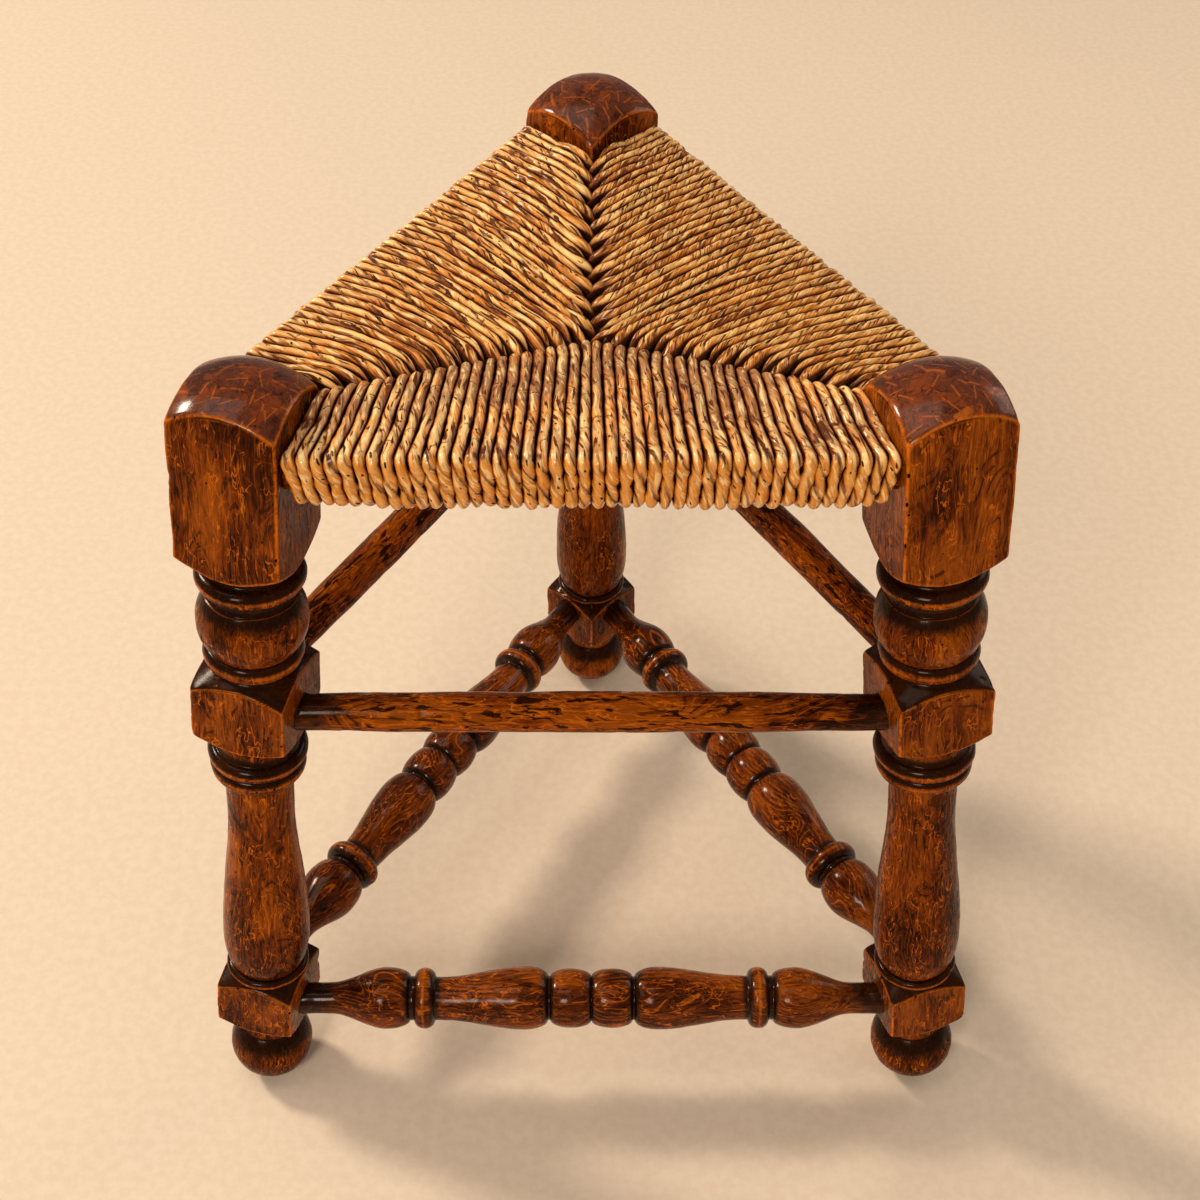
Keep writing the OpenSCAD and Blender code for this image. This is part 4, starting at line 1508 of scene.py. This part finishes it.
@dataclass
class RushPanel:
    """One panel of the seat: cords that come out of a seam, fold round the rail and go back below."""

    name: str
    side: Side
    stance: Stance
    weave: Weave
    seed: int
    cords: int = 44
    cord_d: float = 5.7
    room_limits: tuple[float, float] = (3.6, 7.2)
    fill: float = 0.497
    tail_l: float = 3.0
    rush_gap: float = 0.3
    block_gap: float = 0.45
    rail_round: float = 3.0
    seat_dip: float = 11.5
    underside_sag: float = 4.0
    meet_forward: float = 12.0
    crown: float = 2.0
    drawn_in: float = 3.4
    slack: float = 0.45
    end_rise: float = 4.0
    end_rise_reach: float = 11.0
    top_block_w: float = 47.5
    dive: float = 7.5
    fold_r: float = 4.8
    under_r: float = 6.6
    upper_rows: int = 112
    lower_rows: int = 26
    columns: int = 15
    stuffing_rows: int = 60
    stuffing_columns: int = 40

    def __post_init__(self) -> None:
        """Reads the rail's section from the frame."""
        low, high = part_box("front_rail")
        middle_y = self.stance.middle_y
        self.rail_front = low.y / MM - middle_y
        self.rail_back = high.y / MM - middle_y
        self.rail_level = (low.z + high.z) / 2 / MM
        self.rail_h = (high.z - low.z) / MM
        top = self.rail_h / 2 + self.rush_gap + self.cord_d
        self.seam_top = self.rail_level + top
        self.seam_bottom = self.rail_level - top

    @property
    def shares(self) -> Array:
        """Place of each cord on the rail, from 0 at its left end to 1 at its right end."""
        return (np.arange(self.cords) + 0.5) / self.cords

    @property
    def every_second(self) -> Array:
        """Column of 0 and 1 in turn, one for each cord."""
        return (np.arange(self.cords) % 2)[:, None]

    def free_half(self, y: Array, z: Array) -> Array:
        """Returns half the free length between two blocks at a place across the rail and a height."""
        turn = math.radians(15)
        across = y + self.stance.leg_reach(z) / 2
        block = (self.top_block_w / 2 + self.block_gap + across * math.sin(turn)) / math.cos(turn)
        return self.stance.spacing(z) / 2 - block

    def seam_points(self, shares: Array) -> tuple[Array, Array, Array]:
        """Finds where each cord meets its seam.

        The seams run straight from the inner corners of the two top blocks to the point where the
        three panels meet.

        Args:
            shares: Place of each cord on the rail.

        Returns:
            The points on the plan, how far along the seam they lie, and the way to the meeting.
        """
        turn = round(self.weave.turn * self.cords / 2) * 2 / self.cords
        along = np.where(shares < turn, shares / turn, (1 - shares) / (1 - turn))
        reach = self.top_block_w / math.sqrt(2) + self.block_gap * math.sqrt(2)
        corner_x = self.stance.spacing(self.seam_top) / 2 - reach * math.cos(math.radians(30))
        corner_y = -self.stance.leg_reach(self.seam_top) / 2 + reach * math.sin(math.radians(30))
        corner = joined(np.where(shares < turn, -corner_x, corner_x), corner_y)
        a = math.radians(self.side.value)
        meeting = -self.meet_forward * np.array([math.sin(a), math.cos(a)])
        return mix(corner, meeting, along[:, None]), along, unit(meeting - corner)

    def centre_lines(self) -> tuple[Array, Array, Array, Array]:
        """Works out the middle line of every cord.

        Above, a line dives out of the seam on a quarter of a circle, runs towards the rail on a low
        arch and bends a little near its end. It then goes round the rail, whose two front edges it
        follows on quarter circles, and back to the seam on a straight line. All lines have the same
        number of rows, closer together on the upper part.

        Returns:
            The points, the crosswise directions, the distances along each cord and how much each
            row lies on the rubbed front.
        """
        t = self.shares[:, None]
        rng = np.random.default_rng(self.seed)
        slack = np.abs(np.random.default_rng(self.seed + 70).normal(0, self.slack, (self.cords, 1)))
        seam, along, _ = self.seam_points(self.shares)
        half = self.cord_d / 2
        top_z, low_z = self.seam_top - half, self.seam_bottom + half
        leave_y = self.rail_back - self.rail_round

        def on_rail(y: Array, z: Array) -> Array:
            """Returns points on the rail for every cord, drawn to the middle below."""
            y, z = np.broadcast_arrays(np.asarray(y, float), np.asarray(z, float))
            down = (top_z - z) / (top_z - low_z)
            free = self.free_half(y, top_z) - self.drawn_in * down
            from_end = np.minimum(t, 1 - t) * 2 * free
            rise = self.end_rise * np.exp(-from_end / self.end_rise_reach) * down
            return joined(mix(-1, 1, t) * free, y - 0.6 * slack * down, z + rise - slack * down)

        leave = on_rail([leave_y], [top_z])[:, 0]
        q = np.concatenate([np.linspace(0, 1, 40)[:-1] ** 1.5 * 0.3, np.linspace(0.3, 1, 60)])
        upper = self.upper_lines(leave, q)
        a = np.linspace(0, math.pi / 2, 14)
        front_y = self.rail_front - self.rush_gap - half
        r, under = self.fold_r - half, self.under_r - half
        top_arc = on_rail(front_y + r * (1 - np.sin(a)), top_z - r * (1 - np.cos(a)))
        low_arc = on_rail(front_y + under * (1 - np.cos(a)), low_z + under * (1 - np.sin(a)))
        come = on_rail([leave_y], [low_z])
        low_seam = joined(*seam.T, mix(low_z, low_z - self.underside_sag, along))[:, None]
        dense = np.concatenate([upper, top_arc, low_arc, come, low_seam], axis=1)
        rubbed = np.concatenate([
            0.25 * smooth_step(0.75, 1, q), np.linspace(0.35, 1, len(a)), np.full(len(a), 1.0), [0.3], [0.0],
        ])
        turn_at = upper.shape[1] + 2 * len(a) - 1
        across = np.zeros(dense.shape)
        across[..., 0] = -1
        way = unit(leave[:, :2] - seam)[:, None]
        sideways = joined(way[..., 1], -way[..., 0], 0.0)
        bent = smooth_step(1.0, 0.85, q)[None, :, None]
        across[:, :len(q)] = mix(across[:, :len(q)], sideways, bent)
        return self.even_rows(dense, across, rubbed, turn_at, rng)

    def upper_lines(self, leave: Array, q: Array) -> Array:
        """Works out the upper part of every line, from its seam to the rail.

        A line starts a little past the seam, on the point of the dive. Its height goes evenly from
        the seam's to the rail's, with the low arch 4 * crown * q * (1 - q) over it, and it bends
        towards the meeting of the panels near its start.

        Args:
            leave: Points where the lines reach the rail.
            q: Share of the way of each row.

        Returns:
            The points of every line.
        """
        weave = self.weave
        seam, along, to_meeting = self.seam_points(self.shares)
        top_z = self.seam_top - self.cord_d / 2
        reach = np.linalg.norm(leave[:, :2] - seam, axis=1)[:, None]
        way = unit(leave[:, :2] - seam)[:, None]
        over = weave.overshoot - weave.early * self.every_second
        from_seam = mix(-over, reach, q)
        share = np.clip(from_seam / reach, 0, 1)
        seam_z = mix(top_z, top_z - self.seat_dip, along)[:, None] + weave.lift
        rise = mix(seam_z, top_z, share) + 4 * self.crown * share * (1 - share)
        fall = np.clip((from_seam + over) / (weave.overshoot + weave.taper), 0, 1)
        rise -= self.dive * (1 - np.sqrt(1 - (1 - fall) ** 2))
        hook = weave.hook * smooth_step(0, 16, from_seam) * (1 - share) * smooth_step(12, 50, reach)
        plan = seam[:, None] + way * from_seam[..., None] + to_meeting[:, None] * hook[..., None]
        return np.concatenate([plan, rise[..., None]], axis=-1)

    def even_rows(self, dense: Array, across: Array, rubbed: Array, turn_at: int,
                  rng: Random) -> tuple[Array, Array, Array, Array]:
        """Spaces the rows of all lines evenly on the upper part and, wider, on the lower part.

        Args:
            dense: Points of the lines.
            across: Crosswise direction at each point.
            rubbed: How rubbed each place is, the same for all lines.
            turn_at: Place in the lists where the upper part ends.
            rng: Source of the unevenness.

        Returns:
            The points, crosswise directions, distances and rubbing of the new rows.
        """
        steps = np.linalg.norm(np.diff(dense, axis=1), axis=-1)
        run = np.concatenate([np.zeros((len(dense), 1)), np.cumsum(steps, axis=1)], axis=1)
        turn_run = run[:, turn_at:turn_at + 1]
        places = np.concatenate([
            turn_run * np.linspace(0, 1, self.upper_rows + 1),
            mix(turn_run, run[:, -1:], np.linspace(0, 1, self.lower_rows)[1:]),
        ], axis=1)
        known = np.concatenate([dense, across, joined(rubbed[None] + np.zeros(run.shape))], axis=-1)
        read = np.stack([joined(*(np.interp(here, marks, axis) for axis in values.T))
                         for here, marks, values in zip(places, run, known)])
        points, sideways, rub = read[..., :3], read[..., 3:6], read[..., 6]
        calm = smooth_step(0, 12, places)
        points += sideways * (wander(rng, places, 90, 22) * 0.12 * calm)[..., None]
        return points, unit(sideways), places, rub

    def surface(self) -> tuple[Array, dict[str, Array], Array]:
        """Works out the cords' surfaces.

        A cord's section is an ellipse as wide as the space to its neighbours. The leaves wind round
        it: with t as the share of the way across a leaf, each stands out by |sin(pi t)|^0.7, which
        leaves sharp creases between them. The twist, the depth of the creases and the cord's
        thickness wander along it. The rows close to a point at both ends.

        Returns:
            The points of all cords, the marks of the finish and the places on the cords.
        """
        rng = np.random.default_rng(self.seed + 50)
        centres, sideways, places, rub = self.centre_lines()
        forward = unit(np.gradient(centres, axis=1))
        outward = unit(np.cross(sideways, forward))
        sideways = np.cross(forward, outward)
        neighbours = np.gradient(centres, axis=0)
        room = np.abs(np.einsum("...k,...k->...", neighbours, sideways)).clip(*self.room_limits)
        half_w, half_h, pull = self.thickness(rng, places, rub, room)
        even = np.arange(self.columns + 1) * 2 * math.pi / self.columns
        angle = even - 0.5 * np.sin(even)
        helix = self.weave.leaves * angle / (2 * math.pi) - self.twist(rng, places, rub, pull)[..., None]
        leaf = helix - np.floor(helix)
        strength = np.clip(0.8 + 0.4 * wander(rng, places, 90, 22), 0.2, 1.5)
        strength = strength * mix(self.weave.top_crease, 1.0, np.clip(rub * 1.6, 0, 1))
        depth = self.weave.crease_depth * strength[..., None]
        section = 1 + depth * (np.abs(np.sin(math.pi * leaf)) ** 0.7 - 0.75)
        c, s = np.cos(angle), np.sin(angle)
        out, over = outward[:, :, None], sideways[:, :, None]
        points = (centres[:, :, None] + out * (half_h[..., None] * section * c)[..., None]
                  + over * (half_w[..., None] * section * s)[..., None])
        uneven = Ripple(rng, 4, 9)(points) * 0.07
        points += (out * c[:, None] + over * s[:, None]) * uneven[..., None]
        points = self.stance.from_side(points[:, :, :-1], self.side)

        shape = points.shape[:3]
        # Painted shade: the ends of the cords by the seams, where the gaps between the points lie, are
        # darkened through the flank mark, more where every second cord stops early.
        sunk = smooth_step(self.weave.point + 3, 0, places)[..., None] * (0.55 if self.weave.early else 0.15)
        knuckle = smooth_step(0.3, 0.9, rub)[..., None]
        one_sided = 0.15 + 1.15 * smooth_step(-0.55, 0.25, self.weave.far * s[:-1])
        # The flank mark, rising from the crown round to the sides and at the cord ends, drives the painted
        # shade between the cords.
        marks = {
            "crease": strength[..., None] * mix(1, one_sided, abs(self.weave.far)),
            "flank": (1 - c[:-1]) / 2 * (1.7 - 0.6 * knuckle) + np.broadcast_to(sunk, shape),
            "tone": np.broadcast_to(rng.uniform(0, 1, (self.cords, 1, 1)), shape),
            "polish": np.broadcast_to(rub[..., None], shape),
            "ring": self.ring_distance(places, angle[:-1], rng),
        }
        return points, marks, joined(places[..., None] * MM, helix)

    def thickness(self, rng: Random, places: Array, rub: Array,
                  room: Array) -> tuple[Array, Array, Array]:
        """Works out how thick every cord is along its way.

        The width fills the room between the neighbours. Both sizes wander along the cord, swell in
        knuckles where it is rubbed, and close to a point over a short distance at its ends.

        Args:
            rng: Source of the unevenness.
            places: Distances along each cord.
            rub: How rubbed each row is.
            room: Distance between the neighbours' middle lines.

        Returns:
            Half the width, half the height, and how much each cord's twist departs from the mean.
        """
        cord = rng.normal(size=(4, self.cords, 1))
        swelling = 1 + 0.035 * cord[0] + 0.035 * wander(rng, places, 60, 14)
        begin = places / self.weave.point
        closing = np.sqrt(np.clip(1 - (1 - np.clip(begin, 0.02, 1)) ** 2, 0, 1))
        tail = np.sqrt(np.clip((places[:, -1:] - places) / self.tail_l, 0.02, 1))
        thin = mix(self.weave.end_width, 1.0, smooth_step(0, self.weave.taper * 1.6, places))
        wider, narrower = smooth_step(26, 9, places), -1.2 * smooth_step(20, 5, places)
        thin = thin * (1 + self.weave.grow * mix(wider, narrower, self.every_second))
        knuckle = smooth_step(0.3, 0.9, rub)
        knots = wander(rng, places, 17, 6)
        half_w = room * self.fill * swelling * closing * tail * thin * (1 + knuckle * (0.03 + 0.07 * knots))
        half_h = self.cord_d / 2 * (1 + 0.03 * cord[1] + 0.04 * wander(rng, places, 50, 12)) * closing * tail
        half_h = half_h * (1 + knuckle * (0.1 + 0.1 * wander(rng, places, 17, 6)))
        return half_w, half_h, cord[2]

    def twist(self, rng: Random, places: Array, rub: Array, pull: Array) -> Array:
        """Counts the leaves that wind past the top of each cord, with its hand as the sign.

        Args:
            rng: Source of the unevenness.
            places: Distances along each cord.
            rub: How rubbed each row is, which goes with the fold's lay.
            pull: How much each cord's twist departs from the mean.

        Returns:
            The number of leaves up to each row.
        """
        lay = mix(self.weave.lay, self.weave.fold_lay, np.clip(rub * 1.5, 0, 1))
        turns = np.cumsum(np.gradient(places, axis=1) / lay, axis=1) * self.weave.leaves
        return self.weave.hand * (turns * (1 + 0.12 * pull) + 0.14 * wander(rng, places, 80, 25)
                                  + rng.uniform(0, 1, (self.cords, 1)))

    def ring_distance(self, places: Array, angle: Array, rng: Random) -> Array:
        """Measures how far each point lies from the nearest joint ring of its leaf.

        Rings lie askew: each is shifted along the cord by a sine of the angle round it.

        Args:
            places: Distances along each cord.
            angle: Angles round the cord.
            rng: Source of the rings' places.

        Returns:
            The signed distances in millimetres.
        """
        gap = self.weave.ring_gap
        rings = rng.uniform(0.3 * gap, 1.7 * gap, (self.cords, 8)).cumsum(axis=1)
        skew = rng.uniform(-2.6, 2.6, (2, self.cords, 8))
        offset = places[..., None] - rings[:, None]
        nearest = np.abs(offset).argmin(axis=-1)
        by_sine, by_cosine = skew[:, np.arange(self.cords)[:, None], nearest][..., None]
        askew = by_sine * np.sin(angle) + by_cosine * np.cos(angle)
        return np.take_along_axis(offset, nearest[..., None], axis=-1) + askew

    def build(self, finish: Material) -> Piece:
        """Makes the panel in place of its node and dresses it."""
        points, marks, uv = self.surface()
        piece = make_piece(self.name + "_cords", points, marks, uv)
        dress(piece, self.name, finish)
        return piece

    def build_stuffing(self, node: str, finish: Material) -> Piece:
        """Makes the stuffing of this panel in place of its node.

        Its sections stand across the rail and reach from the rail to the seam, between the upper
        and the lower layer. Each is an ellipse, and noise makes the lump uneven.

        Args:
            node: Name of the stuffing's node.
            finish: Material of the stuffing.

        Returns:
            The new object.
        """
        rng = np.random.default_rng(self.seed + 90)
        shares = np.linspace(0.004, 0.996, self.stuffing_rows)
        seam, along, _ = self.seam_points(shares)
        near = self.rail_back + self.rush_gap + 1
        top = self.seam_top - self.cord_d - 1
        bottom = self.seam_bottom + self.cord_d + 1
        rail = joined(mix(-1, 1, shares) * self.free_half(near, self.rail_level), near)
        turn = np.arange(self.stuffing_columns) * 2 * math.pi / self.stuffing_columns
        depth_share = (1 - np.cos(turn)) / 2
        plan = mix(rail[:, None], seam[:, None], depth_share[:, None])
        roof = mix(top, top - self.seat_dip, along[:, None] * depth_share)
        ground = mix(bottom, bottom - self.underside_sag, along[:, None] * depth_share)
        z = mix(ground, roof, (1 + np.sin(turn)) / 2)
        points = np.concatenate([plan, z[..., None]], axis=-1)
        lumps = Ripple(rng, 9, 25)(points) * 0.5
        points[..., 2] += lumps * np.sin(turn)
        points = self.stance.from_side(points, self.side)[:, ::-1]
        piece = make_piece(node + "_rush", points[None], {})
        dress(piece, node, finish)
        return piece


@dataclass
class Studio:
    """Pale floor, soft light and the camera at the photograph's viewing angle."""

    middle_y: float
    camera_back: float = 655.0
    camera_height: float = 869.0
    look_down: float = 43.1
    focal_share: float = 1772 / 1200
    axis_left_of_middle: float = 8.6 / 1200
    floor_half: float = 3000.0
    sky_strength: float = 0.27

    def build(self) -> None:
        """Makes the floor, the lights, the sky and the camera."""
        self.add_floor()
        self.add_camera()
        self.add_light("key", (-3.2, 1.7, 3.0), 140, 0.7, srgb(255, 240, 220))
        self.add_light("soft", (-1.2, 0.2, 3.8), 40, 2.4, srgb(255, 242, 226))
        self.add_light("fill", (-0.9, -2.3, 2.1), 42, 0.8, srgb(255, 242, 228))
        self.add_light("rim", (1.6, 1.0, 1.2), 6, 0.9, srgb(255, 242, 228))
        bpy.context.scene.view_settings.view_transform = "Standard"
        world = bpy.data.worlds.new("studio_sky")
        world.use_nodes = True
        background = world.node_tree.nodes["Background"]
        background.inputs["Color"].default_value = (*srgb(250, 242, 232), 1)
        background.inputs["Strength"].default_value = self.sky_strength
        bpy.context.scene.world = world

    def add_floor(self) -> None:
        """Makes the floor, one pale sheet at height 0."""
        half = self.floor_half * MM
        mesh = bpy.data.meshes.new("floor")
        corners = [(-half, -half, 0), (half, -half, 0), (half, half, 0), (-half, half, 0)]
        mesh.from_pydata(corners, [], [(0, 1, 2, 3)])
        floor = bpy.data.objects.new("floor", mesh)
        bpy.context.scene.collection.objects.link(floor)
        mesh.materials.append(FloorFinish().material())

    def add_light(self, name: str, place: tuple[float, float, float], watts: float, size: float,
                  colour: Colour) -> None:
        """Adds a square light that faces the seat.

        Args:
            name: Name of the light.
            place: Where it stands, in metres.
            watts: Its power.
            size: Its edge length in metres.
            colour: Its colour.
        """
        data = bpy.data.lights.new(name, "AREA")
        data.energy = watts
        data.size = size
        data.color = colour
        light = bpy.data.objects.new(name, data)
        light.location = place
        light.rotation_euler = (Vector(SEAT_MIDDLE) - light.location).to_track_quat("-Z", "Y").to_euler()
        bpy.context.scene.collection.objects.link(light)

    def add_camera(self) -> None:
        """Sets the camera, whose small shift puts the stool's middle where the photograph has it."""
        data = bpy.data.cameras.new("camera")
        data.sensor_width = 36
        data.lens = data.sensor_width * self.focal_share
        data.shift_x = self.axis_left_of_middle
        camera = bpy.data.objects.new("camera", data)
        camera.location = (0, (self.middle_y - self.camera_back) * MM, self.camera_height * MM)
        camera.rotation_euler = (math.radians(90 - self.look_down), 0, 0)
        bpy.context.scene.collection.objects.link(camera)
        bpy.context.scene.camera = camera


def build_wood(stance: Stance, groups: Groups) -> None:
    """Makes the legs and stretchers and dresses the seat rails.

    Args:
        stance: How the legs stand.
        groups: The shared node groups.
    """
    leg_finish = OakFinish("turned_oak").material(groups)
    swirled_finish = OakFinish("swirled_oak", halos=0.5, blots=0.5, coat=0.22).material(groups)
    plain_finish = OakFinish("plain_oak", halos=0.4, blots=1.1, flecks=0.5).material(groups)
    stretchers: list[Lathe] = []
    rails: list[Bar] = []
    for number, side in enumerate(Side):
        word = side.name.lower()
        plain = Bar(word + "_plain_stretcher", side, radius=8.5)
        fancy = Bar(word + "_turned_stretcher", side, radius=8.25)
        rails.append(Bar(word + "_rail", side, radius=7.0))
        stretchers.append(PlainStretcher(plain, seed=11 + number, slot="plain_stretcher_oak",
                                         columns=56, step=1.1))
        stretchers.append(TurnedStretcher(fancy, seed=21 + number, slot="turned_stretcher_oak"))
        rail_finish = OakFinish(word + "_rail_oak", grain_place=GrainPlace.OBJECT, coat=0.0, roughness=0.6,
                                grain_turn=(0.0, math.radians(90), math.radians(-side.value)))
        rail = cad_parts[word + "_rail"]
        rail.data.materials.clear()
        rail.data.materials.append(rail_finish.material(groups))
        report(rail)
    bars = [stretcher.bar for stretcher in stretchers] + rails
    for stretcher in stretchers:
        finish = plain_finish if isinstance(stretcher, PlainStretcher) else swirled_finish
        report(stretcher.build(finish))
    for number, corner in enumerate(Corner):
        leg = Leg(corner.name.lower() + "_leg", corner, stance, bars, seed=1 + number)
        report(leg.build(leg_finish))


def build_seat(stance: Stance, groups: Groups) -> None:
    """Makes the three rush panels and their stuffing.

    Args:
        stance: How the legs stand.
        groups: The shared node groups.
    """
    golden = RushFinish("golden_rush").material(groups)
    faded = RushFinish("faded_rush", body=srgb(240, 149, 58), pale=srgb(255, 218, 148), dullness=0.75,
                       lip_highlight=0.75, streaks=1.6).material(groups)
    straw = StrawFinish("loose_rush").material(groups)
    weaves = {
        Side.FRONT: Weave(
            turn=0.5, hand=-1, leaves=2, lay=80, fold_lay=26, crease_depth=0.2, top_crease=0.35,
            taper=5, overshoot=1.5, end_width=0.95, lift=1.0, hook=1.0, ring_gap=32),
        Side.RIGHT: Weave(
            turn=0.455, hand=-1, leaves=3, lay=23, fold_lay=23, crease_depth=0.1, top_crease=1.0,
            taper=9, overshoot=2, end_width=0.8, lift=0.0, hook=5.0, ring_gap=90,
            early=6, point=13, grow=0.2, far=-1),
        Side.LEFT: Weave(
            turn=0.455, hand=1, leaves=2, lay=75, fold_lay=24, crease_depth=0.14, top_crease=0.9,
            taper=9, overshoot=2, end_width=0.8, lift=0.0, hook=4.5, ring_gap=90,
            early=6, point=11, grow=0.24, far=0.5),
    }
    rushes = {Side.FRONT: faded, Side.RIGHT: golden, Side.LEFT: golden}
    for number, side in enumerate(Side):
        word = side.name.lower()
        panel = RushPanel(word + "_rush", side, stance, weaves[side], seed=31 + number)
        report(panel.build(rushes[side]))
        report(panel.build_stuffing(word + "_stuffing", straw))


def main() -> None:
    """Builds the stool and its studio."""
    logging.basicConfig(level=logging.INFO, format="%(name)s: %(message)s")
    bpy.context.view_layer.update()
    stance = Stance()
    Studio(stance.middle_y).build()
    groups = Groups()
    build_wood(stance, groups)
    build_seat(stance, groups)


if __name__ == "__main__":
    main()
